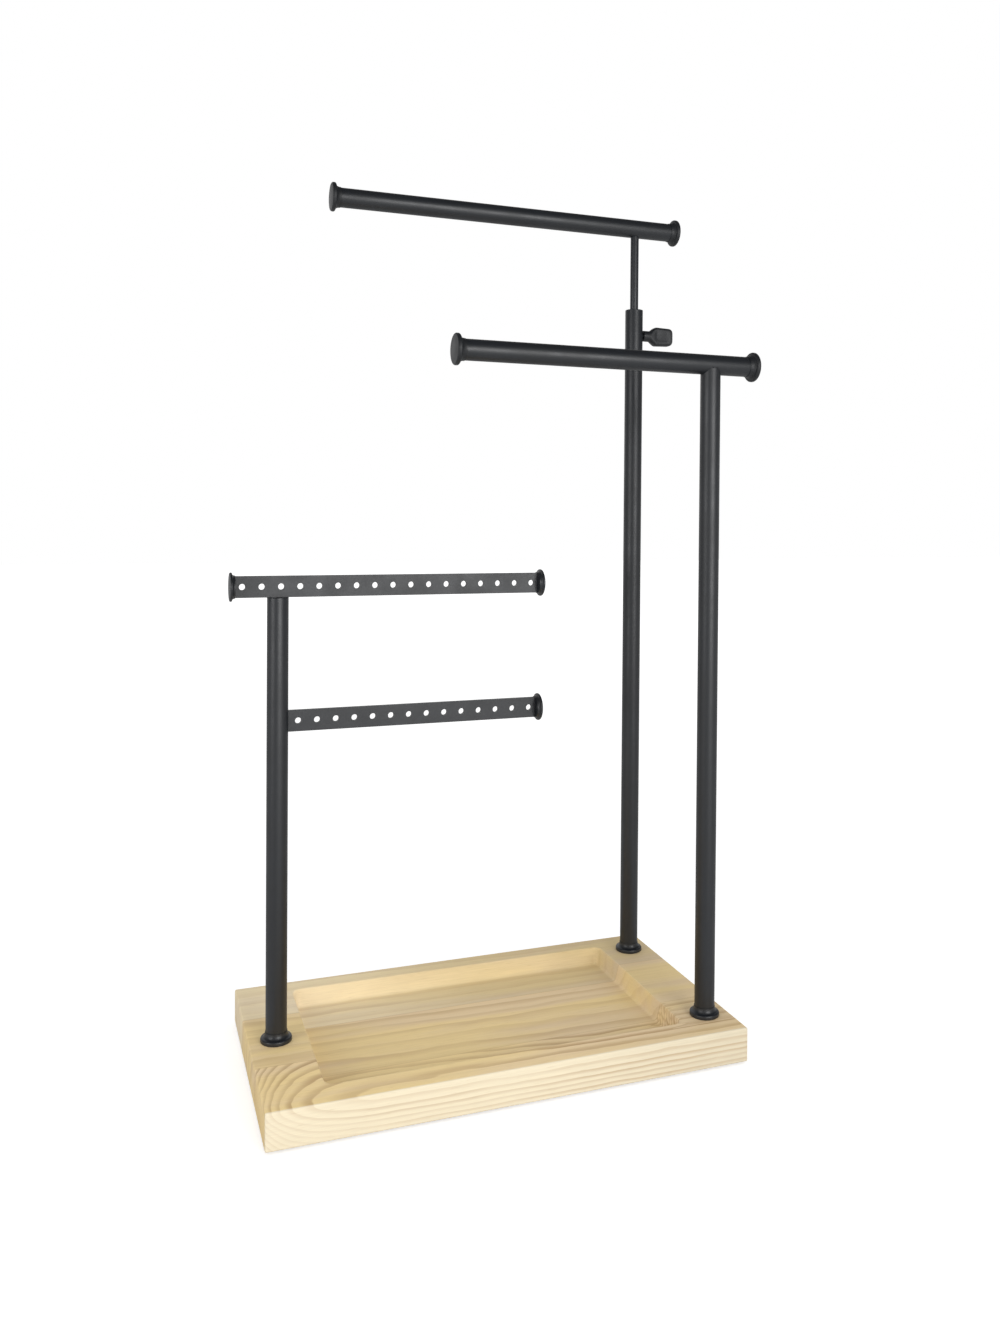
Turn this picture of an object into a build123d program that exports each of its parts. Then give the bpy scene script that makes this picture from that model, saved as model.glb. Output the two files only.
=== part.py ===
"""Tabletop jewellery stand.

A routed wooden tray carries three steel posts. The left post holds two perforated earring bars.
The front post holds a fixed necklace bar. In the rear post a rod with a second necklace bar slides
up and down and turns, and a thumbscrew clamps it.

Millimetres. +X runs along the tray, +Y to the rear and +Z up. The origin lies on the table, under
the middle of the whole stand.
"""

import os
from math import hypot, sqrt

from build123d import *

# Tray
tray_length = 250.0
tray_width = 140.0
tray_thickness = 18.0
tray_edge_chamfer = 0.6
recess_end_rim = 30.0
recess_front_rim = 17.0
recess_rear_rim = 12.0
recess_depth = 9.5
recess_corner_radius = 5.0
recess_draft_angle = 14.0
recess_floor_chamfer = 1.2

# Foot pads
pad_size = 12.0
pad_thickness = 1.0
pad_end_inset = 28.0
pad_side_inset = 10.0

# Tubes, and where the posts stand in from the tray's edges
tube_diameter = 10.8
tube_wall = 1.05
post_end_inset = 14.0
post_side_inset = 22.0

# Heights above the tray's top, to the bars' centre lines and to the rear post's end
lower_bar_height = 164.0
upper_bar_height = 233.0
middle_bar_height = 352.0
rear_post_height = 397.5
top_bar_height = 447.5

# How far the bars' ends lie from their own post's centre line
upper_bar_left_reach = 24.0
upper_bar_right_reach = 143.5
lower_bar_reach = 142.6
middle_bar_left_reach = 143.4
middle_bar_right_reach = 27.0
top_bar_left_reach = 187.5
top_bar_right_reach = 28.0

# Earring bars
strip_height = 11.0
strip_thickness = 2.0
earring_hole_diameter = 3.2
earring_hole_sides = 10
earring_hole_pitch = 9.7
strip_end_margin = 4.95
row_slack = 0.2
strip_slot_clearance = 0.05

# Flared flanges: the foot collars, and the caps on the necklace bars
flange_diameter = 16.0
flange_thickness = 2.4
flare_height = 5.2
flare_waist_share = 0.7
flare_lip_wall = 0.5
fixed_fit = 0.03

# Round discs on the ends of the earring bars
disc_diameter = 14.8
disc_thickness = 1.2
disc_flare_height = 2.6
disc_hub_wall = 0.3

# Saddle where the front post meets the middle bar
saddle_tip_drop = 2.0
saddle_gap = 0.03

# Fixings under the tray
screw_diameter = 5.0
screw_clearance = 0.25
screw_engagement = 10.0
screw_head_diameter = 11.0
screw_head_height = 3.0
counterbore_diameter = 12.0
counterbore_depth = 6.0
plug_length = 14.0
thread_gap = 0.03
post_plug_length = 6.0

# Sliding rod and its guide
rod_diameter = 5.0
rod_length = 160.0
running_clearance = 0.05
rod_seat_gap = 0.3
guide_length = 26.0

# Thumbscrew
stud_diameter = 4.0
stud_drop = 15.5
stud_tip_gap = 0.3
stud_embed = 6.6
knob_gap = 0.4
neck_diameter = 6.6
neck_length = 5.0
paddle_length = 14.8
paddle_root_width = 7.2
paddle_width = 11.5
paddle_end_width = 10.6
paddle_thickness = 6.2
paddle_shoulder_share = 0.22
paddle_corner_radius = 2.6
paddle_edge_chamfer = 0.7
dish_rim = 1.8
dish_depth = 0.7
dish_slope_angle = 40.0

# Sizes that follow from those above
tube_radius = tube_diameter / 2
bore_radius = tube_radius - tube_wall
socket_radius = tube_radius + fixed_fit
lip_radius = socket_radius + flare_lip_wall
flange_radius = flange_diameter / 2
disc_radius = disc_diameter / 2
rod_radius = rod_diameter / 2
stud_radius = stud_diameter / 2
tray_bottom = pad_thickness
tray_top = tray_bottom + tray_thickness
post_x = tray_length / 2 - post_end_inset
post_y = tray_width / 2 - post_side_inset
left_reach = max(tray_length / 2, post_x + upper_bar_left_reach)
right_reach = max(tray_length / 2, post_x + max(top_bar_right_reach, middle_bar_right_reach))
tray_x = (left_reach - right_reach) / 2
left_x = tray_x - post_x
right_x = tray_x + post_x
left_foot = (left_x, 0, tray_top)
front_foot = (right_x, -post_y, tray_top)
rear_foot = (right_x, post_y, tray_top)
feet = (left_foot, front_foot, rear_foot)
lower_bar_z = tray_top + lower_bar_height
upper_bar_z = tray_top + upper_bar_height
middle_bar_z = tray_top + middle_bar_height
rear_post_top = tray_top + rear_post_height
top_bar_z = tray_top + top_bar_height
stud_z = rear_post_top - stud_drop

up = (0, 0, 1)
down = (0, 0, -1)
rightward = (1, 0, 0)
leftward = (-1, 0, 0)
forward = (0, -1, 0)


def finish(builder, name):
    """Label a finished piece and write it to its own file."""
    builder.part.label = name
    export_step(builder.part, f"parts/{name}.step")


def side_plane(origin, radial, axial):
    """Plane for a turned outline: local X is the radius, local Y runs along the turning axis."""
    return Plane(origin=origin, x_dir=radial, z_dir=Vector(*radial).cross(Vector(*axial)))


def bar_plane(x, y, z):
    """Plane square to the X axis, for what runs along a bar."""
    return Plane(origin=(x, y, z), x_dir=(0, 1, 0), z_dir=rightward)


def flare_points(rim_radius, rim_thickness, lip_radius, height):
    """Outline of a hollow flare, from the back of a flange's rim through a waist to its thin lip."""
    waist_radius = rim_radius - (rim_radius - lip_radius) * flare_waist_share
    waist_height = height - (height - rim_thickness) * flare_waist_share
    return (rim_radius, rim_thickness), (waist_radius, waist_height), (lip_radius, height)


def draw_tube():
    """Cross-section of the tube that posts and necklace bars are made of."""
    Circle(tube_radius)
    Circle(bore_radius, mode=Mode.SUBTRACT)


def draw_plug():
    """Cross-section of the threaded plug that is welded into a post's foot."""
    Circle(bore_radius)
    Circle(screw_diameter / 2 + thread_gap, mode=Mode.SUBTRACT)


os.makedirs("parts", exist_ok=True)

# Tray: a board with a slope-walled recess, drilled and counterbored from below for the posts
recess_length = tray_length - 2 * recess_end_rim
recess_width = tray_width - recess_front_rim - recess_rear_rim
recess_y = (recess_front_rim - recess_rear_rim) / 2
with BuildPart() as tray:
    with BuildSketch(Plane((tray_x, 0, tray_bottom))):
        Rectangle(tray_length, tray_width)
    extrude(amount=tray_thickness)
    chamfer(tray.edges(), length=tray_edge_chamfer)
    with BuildSketch(Plane((tray_x, recess_y, tray_top))):
        RectangleRounded(recess_length, recess_width, recess_corner_radius)
    extrude(amount=-recess_depth, taper=recess_draft_angle, mode=Mode.SUBTRACT)
    recess_floor = tray.faces().filter_by(Axis.Z).sort_by(Axis.Z)[1]
    chamfer(recess_floor.edges(), length=recess_floor_chamfer)
    with Locations(*[Plane((x, y, tray_bottom), z_dir=down) for x, y, _ in feet]):
        CounterBoreHole(
            radius=screw_diameter / 2 + screw_clearance,
            counter_bore_radius=counterbore_diameter / 2,
            counter_bore_depth=counterbore_depth,
        )
finish(tray, "tray")

# Foot pads: thin squares under the tray's corners
pad_x = tray_length / 2 - pad_end_inset
pad_y = tray_width / 2 - pad_side_inset
for row, row_y in (("front", -pad_y), ("rear", pad_y)):
    for end, end_x in (("left", tray_x - pad_x), ("right", tray_x + pad_x)):
        with BuildPart() as foot_pad:
            with BuildSketch(Plane((end_x, row_y, 0))):
                Rectangle(pad_size, pad_size)
            extrude(amount=pad_thickness)
        finish(foot_pad, f"{row}_{end}_foot_pad")

# Left post: a tube with a slot in its side for the lower earring bar
with BuildPart() as left_post:
    with BuildSketch(Plane(left_foot)):
        draw_tube()
    extrude(amount=upper_bar_height - strip_height / 2)
    with BuildSketch(Plane(left_foot)):
        draw_plug()
    extrude(amount=plug_length)
    with BuildSketch(bar_plane(left_x, 0, lower_bar_z)):
        Rectangle(strip_thickness + 2 * strip_slot_clearance, strip_height + 2 * strip_slot_clearance)
    extrude(amount=tube_diameter, mode=Mode.SUBTRACT)
finish(left_post, "left_post")

# Plug that closes the left post's top under the upper earring bar
with BuildPart() as left_post_plug:
    with BuildSketch(Plane((left_x, 0, upper_bar_z - strip_height / 2))):
        Circle(bore_radius - fixed_fit)
    extrude(amount=-post_plug_length)
finish(left_post_plug, "left_post_plug")

# Front post: a tube coped to fit round the underside of the middle necklace bar
with BuildPart() as front_post:
    with BuildSketch(Plane(front_foot)):
        draw_tube()
    extrude(amount=middle_bar_height - saddle_tip_drop)
    with BuildSketch(Plane(front_foot)):
        draw_plug()
    extrude(amount=plug_length)
    with BuildSketch(bar_plane(right_x, -post_y, middle_bar_z)):
        Circle(tube_radius + saddle_gap)
    extrude(amount=tube_diameter, both=True, mode=Mode.SUBTRACT)
finish(front_post, "front_post")

# Rear post: the outer tube of the height adjustment, drilled on its right for the thumbscrew
with BuildPart() as rear_post:
    with BuildSketch(Plane(rear_foot)):
        draw_tube()
    extrude(amount=rear_post_height)
    with BuildSketch(Plane(rear_foot)):
        draw_plug()
    extrude(amount=plug_length)
    with BuildSketch(bar_plane(right_x, post_y, stud_z)):
        Circle(stud_radius + running_clearance)
    extrude(amount=tube_diameter, mode=Mode.SUBTRACT)
finish(rear_post, "rear_post")

# Post collars: flared flanges round the feet of the posts
with BuildPart() as post_collars:
    for foot in feet:
        with BuildSketch(side_plane(foot, rightward, up)):
            with BuildLine():
                Polyline(
                    (socket_radius, 0),
                    (flange_radius, 0),
                    *flare_points(flange_radius, flange_thickness, lip_radius, flare_height),
                    (socket_radius, flare_height),
                    close=True,
                )
            make_face()
        revolve(axis=Axis(foot, up))
finish(post_collars, "post_collars")

# Base screws: from the tray's counterbores up into the plugs in the posts' feet
screw_seat = tray_bottom + counterbore_depth
screw_planes = [Plane((x, y, screw_seat)) for x, y, _ in feet]
with BuildPart() as base_screws:
    with BuildSketch(*screw_planes):
        Circle(screw_head_diameter / 2)
    extrude(amount=-screw_head_height)
    with BuildSketch(*screw_planes):
        Circle(screw_diameter / 2)
    extrude(amount=tray_top + screw_engagement - screw_seat)
finish(base_screws, "base_screws")


def build_earring_bar(name, start_x, free_x, end_x, bar_z):
    """Flat strip with a row of holes, counted back from its right end over its free length.

    The middle hole is round, and gives the size that earrings go by. The others have flat sides.
    """
    row_length = end_x - free_x - 2 * strip_end_margin
    gap_count = int((row_length + row_slack) / earring_hole_pitch)
    holes = [(end_x - strip_end_margin - gap * earring_hole_pitch, 0) for gap in range(gap_count + 1)]
    middle_hole = holes.pop(gap_count // 2)
    hole_radius = earring_hole_diameter / 2
    with BuildPart() as strip:
        with BuildSketch(Plane((0, 0, bar_z), x_dir=rightward, z_dir=forward)):
            with Locations(((start_x + end_x) / 2, 0)):
                Rectangle(end_x - start_x, strip_height)
            with Locations(middle_hole):
                Circle(hole_radius, mode=Mode.SUBTRACT)
            with Locations(*holes):
                RegularPolygon(hole_radius, earring_hole_sides, major_radius=False, mode=Mode.SUBTRACT)
        extrude(amount=strip_thickness / 2, both=True)
    finish(strip, name)


# Earring bars: the upper one stands on the left post, the lower one is let into the post's side
upper_left_face = left_x - upper_bar_left_reach
upper_right_face = left_x + upper_bar_right_reach
lower_right_face = left_x + lower_bar_reach
upper_start = upper_left_face + disc_thickness
upper_end = upper_right_face - disc_thickness
lower_start = left_x + bore_radius
lower_end = lower_right_face - disc_thickness
build_earring_bar("upper_earring_bar", upper_start, upper_start, upper_end, upper_bar_z)
build_earring_bar("lower_earring_bar", lower_start, left_x + tube_radius, lower_end, lower_bar_z)

# Thin flared discs, each with a hub slotted over the end of an earring bar
hub_radius = hypot(strip_height, strip_thickness) / 2 + disc_hub_wall
disc_places = (
    (upper_left_face, upper_bar_z, rightward),
    (upper_right_face, upper_bar_z, leftward),
    (lower_right_face, lower_bar_z, leftward),
)
with BuildPart() as earring_bar_discs:
    for face_x, bar_z, inward in disc_places:
        with BuildSketch(side_plane((face_x, 0, bar_z), up, inward)):
            with BuildLine():
                Polyline(
                    (0, 0),
                    (disc_radius, 0),
                    (disc_radius, disc_thickness),
                    (hub_radius, disc_flare_height),
                    (0, disc_flare_height),
                    close=True,
                )
            make_face()
        revolve(axis=Axis((face_x, 0, bar_z), inward))
        with BuildSketch(bar_plane(face_x + inward[0] * disc_thickness, 0, bar_z)):
            Rectangle(strip_thickness, strip_height)
        extrude(amount=disc_flare_height, dir=inward, mode=Mode.SUBTRACT)
finish(earring_bar_discs, "earring_bar_discs")


def build_end_caps(name, left_face, right_face, bar_y, bar_z):
    """Flared caps, one at each end of a necklace bar, with a socket for the tube."""
    with BuildPart() as caps:
        for face_x, inward in ((left_face, rightward), (right_face, leftward)):
            with BuildSketch(side_plane((face_x, bar_y, bar_z), up, inward)):
                with BuildLine():
                    Polyline(
                        (0, 0),
                        (flange_radius, 0),
                        *flare_points(flange_radius, flange_thickness, lip_radius, flare_height),
                        (socket_radius, flare_height),
                        (socket_radius, flange_thickness),
                        (0, flange_thickness),
                        close=True,
                    )
                make_face()
            revolve(axis=Axis((face_x, bar_y, bar_z), inward))
    finish(caps, name)


# Middle necklace bar: a tube that lies in the front post's saddle, with a cap at each end
middle_left_face = right_x - middle_bar_left_reach
middle_right_face = right_x + middle_bar_right_reach
with BuildPart() as middle_bar:
    with BuildSketch(bar_plane(middle_left_face + flange_thickness, -post_y, middle_bar_z)):
        draw_tube()
    extrude(amount=middle_right_face - middle_left_face - 2 * flange_thickness)
finish(middle_bar, "middle_necklace_bar")
build_end_caps("middle_bar_caps", middle_left_face, middle_right_face, -post_y, middle_bar_z)

# Top necklace bar: a tube drilled from below for the rod, with a cap at each end
top_left_face = right_x - top_bar_left_reach
top_right_face = right_x + top_bar_right_reach
with BuildPart() as top_bar:
    with BuildSketch(bar_plane(top_left_face + flange_thickness, post_y, top_bar_z)):
        draw_tube()
    extrude(amount=top_right_face - top_left_face - 2 * flange_thickness)
    with BuildSketch(Plane((right_x, post_y, top_bar_z))):
        Circle(rod_radius + running_clearance)
    extrude(amount=-tube_diameter, mode=Mode.SUBTRACT)
finish(top_bar, "top_necklace_bar")
build_end_caps("top_bar_caps", top_left_face, top_right_face, post_y, top_bar_z)

# Rod: its upper end seats inside the top bar, its lower end is free in the rear post
rod_top = top_bar_z + sqrt(bore_radius**2 - rod_radius**2) - rod_seat_gap
with BuildPart() as riser_rod:
    with BuildSketch(Plane((right_x, post_y, rod_top))):
        Circle(rod_radius)
    extrude(amount=-rod_length)
finish(riser_rod, "riser_rod")

# Rod guide: a bush in the rear post's mouth, cross-drilled for the thumbscrew
with BuildPart() as rod_guide:
    with BuildSketch(Plane((right_x, post_y, rear_post_top))):
        Circle(bore_radius - fixed_fit)
        Circle(rod_radius + running_clearance, mode=Mode.SUBTRACT)
    extrude(amount=-guide_length)
    with BuildSketch(bar_plane(right_x, post_y, stud_z)):
        Circle(stud_radius + running_clearance)
    extrude(amount=tube_diameter, mode=Mode.SUBTRACT)
finish(rod_guide, "rod_guide")

# Thumbscrew stud: from just clear of the rod out into the knob
stud_tip_x = right_x + rod_radius + stud_tip_gap
neck_x = right_x + tube_radius + knob_gap
with BuildPart() as stud:
    with BuildSketch(bar_plane(stud_tip_x, post_y, stud_z)):
        Circle(stud_radius)
    extrude(amount=neck_x + stud_embed - stud_tip_x)
finish(stud, "thumbscrew_stud")

# Thumbscrew knob: a round neck that opens into a dished spade
paddle_x = neck_x + neck_length
shoulder_x = paddle_length * paddle_shoulder_share
knob_face = Plane((paddle_x, post_y, stud_z), x_dir=rightward, z_dir=forward)
spade_corners = (
    (0, -paddle_root_width / 2),
    (shoulder_x, -paddle_width / 2),
    (paddle_length, -paddle_end_width / 2),
    (paddle_length, paddle_end_width / 2),
    (shoulder_x, paddle_width / 2),
    (0, paddle_root_width / 2),
)
with BuildPart() as knob:
    with BuildSketch(knob_face) as spade:
        Polygon(*spade_corners, align=None)
        fillet(spade.vertices().group_by(Axis.X)[1:], radius=paddle_corner_radius)
    extrude(amount=paddle_thickness / 2, both=True)
    broad_faces = knob.faces().filter_by(Axis.Y)
    chamfer(broad_faces.edges(), length=paddle_edge_chamfer)
    for side in (-1, 1):
        with BuildSketch(knob_face.offset(side * paddle_thickness / 2)):
            Polygon(*spade_corners, align=None)
            offset(amount=-dish_rim, kind=Kind.INTERSECTION, mode=Mode.REPLACE)
        extrude(amount=-side * dish_depth, taper=dish_slope_angle, mode=Mode.SUBTRACT)
    with BuildSketch(bar_plane(neck_x, post_y, stud_z)):
        Circle(neck_diameter / 2)
    extrude(amount=neck_length + paddle_edge_chamfer)
    with BuildSketch(bar_plane(neck_x, post_y, stud_z)):
        Circle(stud_radius + running_clearance)
    extrude(amount=stud_embed, mode=Mode.SUBTRACT)
finish(knob, "thumbscrew_knob")
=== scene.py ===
"""Looks of a tabletop jewelry stand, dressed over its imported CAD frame.

Laid out as an add-on, with one operator for each piece or group of like pieces, and run as a script.
Everything is in metres, in the frame of the CAD: +X along the tray, +Y to the rear and +Z up.
Only the patterns of the materials are written in millimetres.
"""

import math

import bmesh
import bpy
from bpy.props import FloatProperty, FloatVectorProperty, PointerProperty
from mathutils import Matrix, Vector


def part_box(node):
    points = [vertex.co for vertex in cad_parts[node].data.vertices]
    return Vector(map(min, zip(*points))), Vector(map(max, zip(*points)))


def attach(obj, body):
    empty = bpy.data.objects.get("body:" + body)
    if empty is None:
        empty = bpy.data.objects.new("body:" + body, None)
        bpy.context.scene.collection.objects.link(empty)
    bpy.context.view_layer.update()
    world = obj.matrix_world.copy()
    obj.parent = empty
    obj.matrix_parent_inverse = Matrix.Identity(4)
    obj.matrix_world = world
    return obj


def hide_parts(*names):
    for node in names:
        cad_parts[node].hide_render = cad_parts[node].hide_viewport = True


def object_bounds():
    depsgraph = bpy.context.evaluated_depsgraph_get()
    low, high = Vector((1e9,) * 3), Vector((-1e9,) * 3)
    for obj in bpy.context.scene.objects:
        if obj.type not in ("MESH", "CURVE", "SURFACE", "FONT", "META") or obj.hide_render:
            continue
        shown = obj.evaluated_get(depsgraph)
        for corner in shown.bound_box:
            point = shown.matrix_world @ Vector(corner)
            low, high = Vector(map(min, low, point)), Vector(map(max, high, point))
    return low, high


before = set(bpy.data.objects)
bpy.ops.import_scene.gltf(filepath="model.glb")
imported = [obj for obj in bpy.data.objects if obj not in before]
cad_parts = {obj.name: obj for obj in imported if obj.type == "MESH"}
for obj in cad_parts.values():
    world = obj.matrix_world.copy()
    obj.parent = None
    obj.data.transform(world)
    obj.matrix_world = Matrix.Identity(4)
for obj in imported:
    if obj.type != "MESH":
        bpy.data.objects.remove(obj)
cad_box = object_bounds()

bl_info = {
    "name": "Jewelry Stand",
    "version": (1, 0, 0),
    "blender": (4, 5, 0),
    "location": "View3D > Sidebar > Jewelry Stand",
    "description": "Dresses the frame of a tabletop jewelry stand with finished pieces and materials",
    "category": "Object",
}

# A millimetre, the distance within which points merge, and how far a cutter runs past a face
MM = 0.001
MERGE_DISTANCE = MM * MM
OVERRUN = MM

UP = Vector((0, 0, 1))
RIGHTWARD = Vector((1, 0, 0))
FULL_TURN = 2 * math.pi
QUARTER_TURN = math.pi / 2
WHITE = (1, 1, 1, 1)

# Turns that leave a template's local Z upright, or lay it along +X or -X
UPRIGHT = (0, 0, 0)
LAID_RIGHT = (0, QUARTER_TURN, 0)
LAID_LEFT = (0, -QUARTER_TURN, 0)

# Fineness and shading of meshes
TURNED_SEGMENTS = 72
ROUND_STEPS = 5
CORNER_STEPS = 8
SHARP_ANGLE = math.radians(38)
FLAT_ANGLE = math.radians(12)


def middle_of(node):
    """Centre of a CAD node's box at rest."""
    low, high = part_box(node)
    return (low + high) / 2


def axis_of(node, height):
    """Point at a height on the upright centre line of a CAD node."""
    centre = middle_of(node)
    return Vector((centre.x, centre.y, height))


def radius_of(node):
    """Half the width of a CAD node's box along X."""
    low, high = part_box(node)
    return (high.x - low.x) / 2


# Places and sizes that come from the frame
POST_NODES = ("left_post", "front_post", "rear_post")
PAD_NODES = ("front_left_foot_pad", "front_right_foot_pad", "rear_left_foot_pad", "rear_right_foot_pad")
tray_low, tray_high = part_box("tray")
tray_top = tray_high.z
tube_radius = radius_of("rear_post")
flange_radius = (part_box("top_bar_caps")[1].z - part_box("top_bar_caps")[0].z) / 2
post_feet = [axis_of(node, tray_top) for node in POST_NODES]


def length(name, description, millimetres):
    """A size that a user may change."""
    return FloatProperty(
        name=name, description=description, default=millimetres * MM, min=0, precision=5, unit="LENGTH"
    )


def colour(name, description, value):
    """A colour that a user may change."""
    return FloatVectorProperty(
        name=name, description=description, default=(*value, 1), size=4, min=0, max=1, subtype="COLOR"
    )


class StandSizes(bpy.types.PropertyGroup):
    """Sizes of the finished pieces that the frame's boxes don't give."""

    tray_edge_round: length("Tray edge round", "Rounding of the tray's outer edges", 0.9)
    recess_end_rim: length("Recess end rim", "Width of the rim at each end of the recess", 30)
    recess_front_rim: length("Recess front rim", "Width of the rim in front of the recess", 17)
    recess_rear_rim: length("Recess rear rim", "Width of the rim behind the recess", 12)
    recess_depth: length("Recess depth", "Depth of the recess below the tray's top", 9.5)
    recess_corner: length("Recess corner", "Corner radius of the recess at its mouth", 5)
    recess_lip_round: length("Recess lip round", "Rounding of the edge where the recess starts", 0.8)
    recess_cove: length("Recess cove", "Hollow rounding where the recess's walls meet its floor", 2.2)
    recess_slope: FloatProperty(
        name="Recess slope",
        description="Lean of the recess's walls",
        default=math.radians(14),
        subtype="ANGLE",
    )
    counterbore: length("Counterbore", "Diameter of the screw pockets under the tray", 12)
    counterbore_depth: length("Counterbore depth", "Depth of the screw pockets under the tray", 6)
    screw_hole: length("Screw hole", "Diameter of the screw holes in the tray", 5.5)
    pad_corner: length("Pad corner", "Corner radius of the foot pads", 1.4)
    pad_edge_round: length("Pad edge round", "Rounding of the foot pads' edges", 0.3)
    tube_wall: length("Tube wall", "Wall of the posts and necklace bars", 1.05)
    tube_edge_round: length("Tube edge round", "Rounding of the cut ends of tubes", 0.3)
    plug_length: length("Plug length", "Length of the threaded plugs welded into the posts' feet", 14)
    plug_edge_round: length("Plug edge round", "Rounding of the plug in the left post's top", 0.2)
    rod_edge_round: length("Rod edge round", "Rounding of the sliding rod's ends", 0.4)
    guide_edge_round: length("Guide edge round", "Rounding of the guide bush's ends", 0.35)
    flange_thickness: length("Flange thickness", "Thickness of the collars' and caps' rims", 2.4)
    flange_rim_round: length("Flange rim round", "Rounding of the collars' and caps' rims", 0.9)
    flare_height: length("Flare height", "Height of the collars' and caps' flares", 5.2)
    flare_lip: length("Flare lip", "Wall at the thin end of a flare", 0.2)
    fit_gap: length("Fit gap", "Gap between a tube and what sits on it", 0.03)
    running_gap: length("Running gap", "Gap round the rod and the thumbscrew", 0.05)
    disc_thickness: length("Disc thickness", "Thickness of the earring bars' end discs", 1.2)
    disc_rim_round: length("Disc rim round", "Rounding of the end discs' rims", 0.45)
    disc_flare: length("Disc flare", "Height of the flare behind an end disc", 2.6)
    disc_hub: length("Disc hub", "Wall of an end disc's hub round the strip's corners", 0.3)
    earring_hole: length("Earring hole", "Diameter of the holes in the earring bars", 3.2)
    earring_pitch: length("Earring pitch", "Distance between the holes in the earring bars", 9.7)
    earring_margin: length("Earring margin", "Distance from a bar's right end to its last hole", 4.95)
    strip_edge_round: length("Strip edge round", "Rounding of the earring bars' edges and holes", 0.25)
    screw_diameter: length("Screw diameter", "Diameter of the base screws' threads", 5)
    screw_pitch: length("Screw pitch", "Thread pitch of the base screws", 0.8)
    screw_thread: length("Screw thread", "Depth of the base screws' threads", 0.5)
    screw_lead_in: length("Screw lead-in", "Length over which the base screws' threads start", 1)
    screw_head: length("Screw head", "Diameter of the base screws' heads", 11)
    screw_head_height: length("Screw head height", "Height of the base screws' heads", 3)
    screw_crown_round: length("Screw crown round", "Rounding of the base screws' domed faces", 2)
    screw_rim: length("Screw rim", "Height of the straight rim of the base screws' heads", 0.8)
    screw_rim_round: length("Screw rim round", "Rounding where the heads' domes meet their rims", 0.3)
    cross_arm: length("Cross arm", "Reach of the cross recess in the base screws' heads", 2.3)
    cross_width: length("Cross width", "Width of the cross recess's arms", 1.2)
    cross_depth: length("Cross depth", "Depth of the cross recess", 1.7)
    stud_diameter: length("Stud diameter", "Diameter of the thumbscrew's thread", 4)
    stud_pitch: length("Stud pitch", "Thread pitch of the thumbscrew", 0.7)
    stud_thread: length("Stud thread", "Depth of the thumbscrew's thread", 0.38)
    stud_lead_in: length("Stud lead-in", "Length over which the thumbscrew's thread starts", 0.6)
    neck_diameter: length("Neck diameter", "Diameter of the knob's neck", 6.6)
    neck_length: length("Neck length", "Length of the knob's neck", 5)
    neck_bevel: length("Neck bevel", "Width of the step at the neck's inner end", 0.3)
    neck_fillet: length("Neck fillet", "Rounding where the neck runs into the spade", 0.5)
    spade_width: length("Spade width", "Width of the knob's spade at its shoulders", 11.5)
    spade_end: length("Spade end", "Width of the knob's spade at its outer end", 10.6)
    spade_thickness: length("Spade thickness", "Thickness of the knob's spade", 6.2)
    spade_shoulder: length("Spade shoulder", "Length of the spade's taper from the neck", 3.3)
    spade_corner: length("Spade corner", "Corner radius of the spade's outline", 2.6)
    spade_round: length("Spade round", "Rounding of the spade's outer edge", 1.1)
    spade_dish: length("Spade dish", "Depth of the finger dishes in the spade", 0.35)


class StandColours(bpy.types.PropertyGroup):
    """Colours of the finishes."""

    early_wood: colour("Early wood", "Pale wood between the rings", (0.86, 0.665, 0.335))
    # Painted light: this paler wood covers the tray's front face as painted light from the front lamp, and
    # lightens the rear stave partly as its own tone and partly as painted light on the recess's lit far
    # wall
    pale_wood_and_painted_light: colour("Pale wood and painted light", "Paler wood with painted light, on the tray's front face and rear stave", (0.8, 0.705, 0.52))
    late_wood: colour("Late wood", "Brown wood of the ring lines", (0.43, 0.26, 0.115))
    sap_wood: colour("Sap wood", "Pinkish wood of slow patches along the boards", (0.8, 0.62, 0.4))
    coat: colour("Powder coat", "Black satin coat of posts and bars", (0.0068, 0.0085, 0.0115))
    plastic: colour("Plastic", "Black plastic of caps and knob", (0.0068, 0.0082, 0.0105))
    zinc: colour("Zinc", "Plated steel of the hidden fixings", (0.6, 0.6, 0.58))
    rubber: colour("Rubber", "Dark rubber of the foot pads", (0.045, 0.044, 0.043))
    floor: colour("Floor", "Pale floor under the stand", (0.62, 0.62, 0.62))


# Node trees


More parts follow.
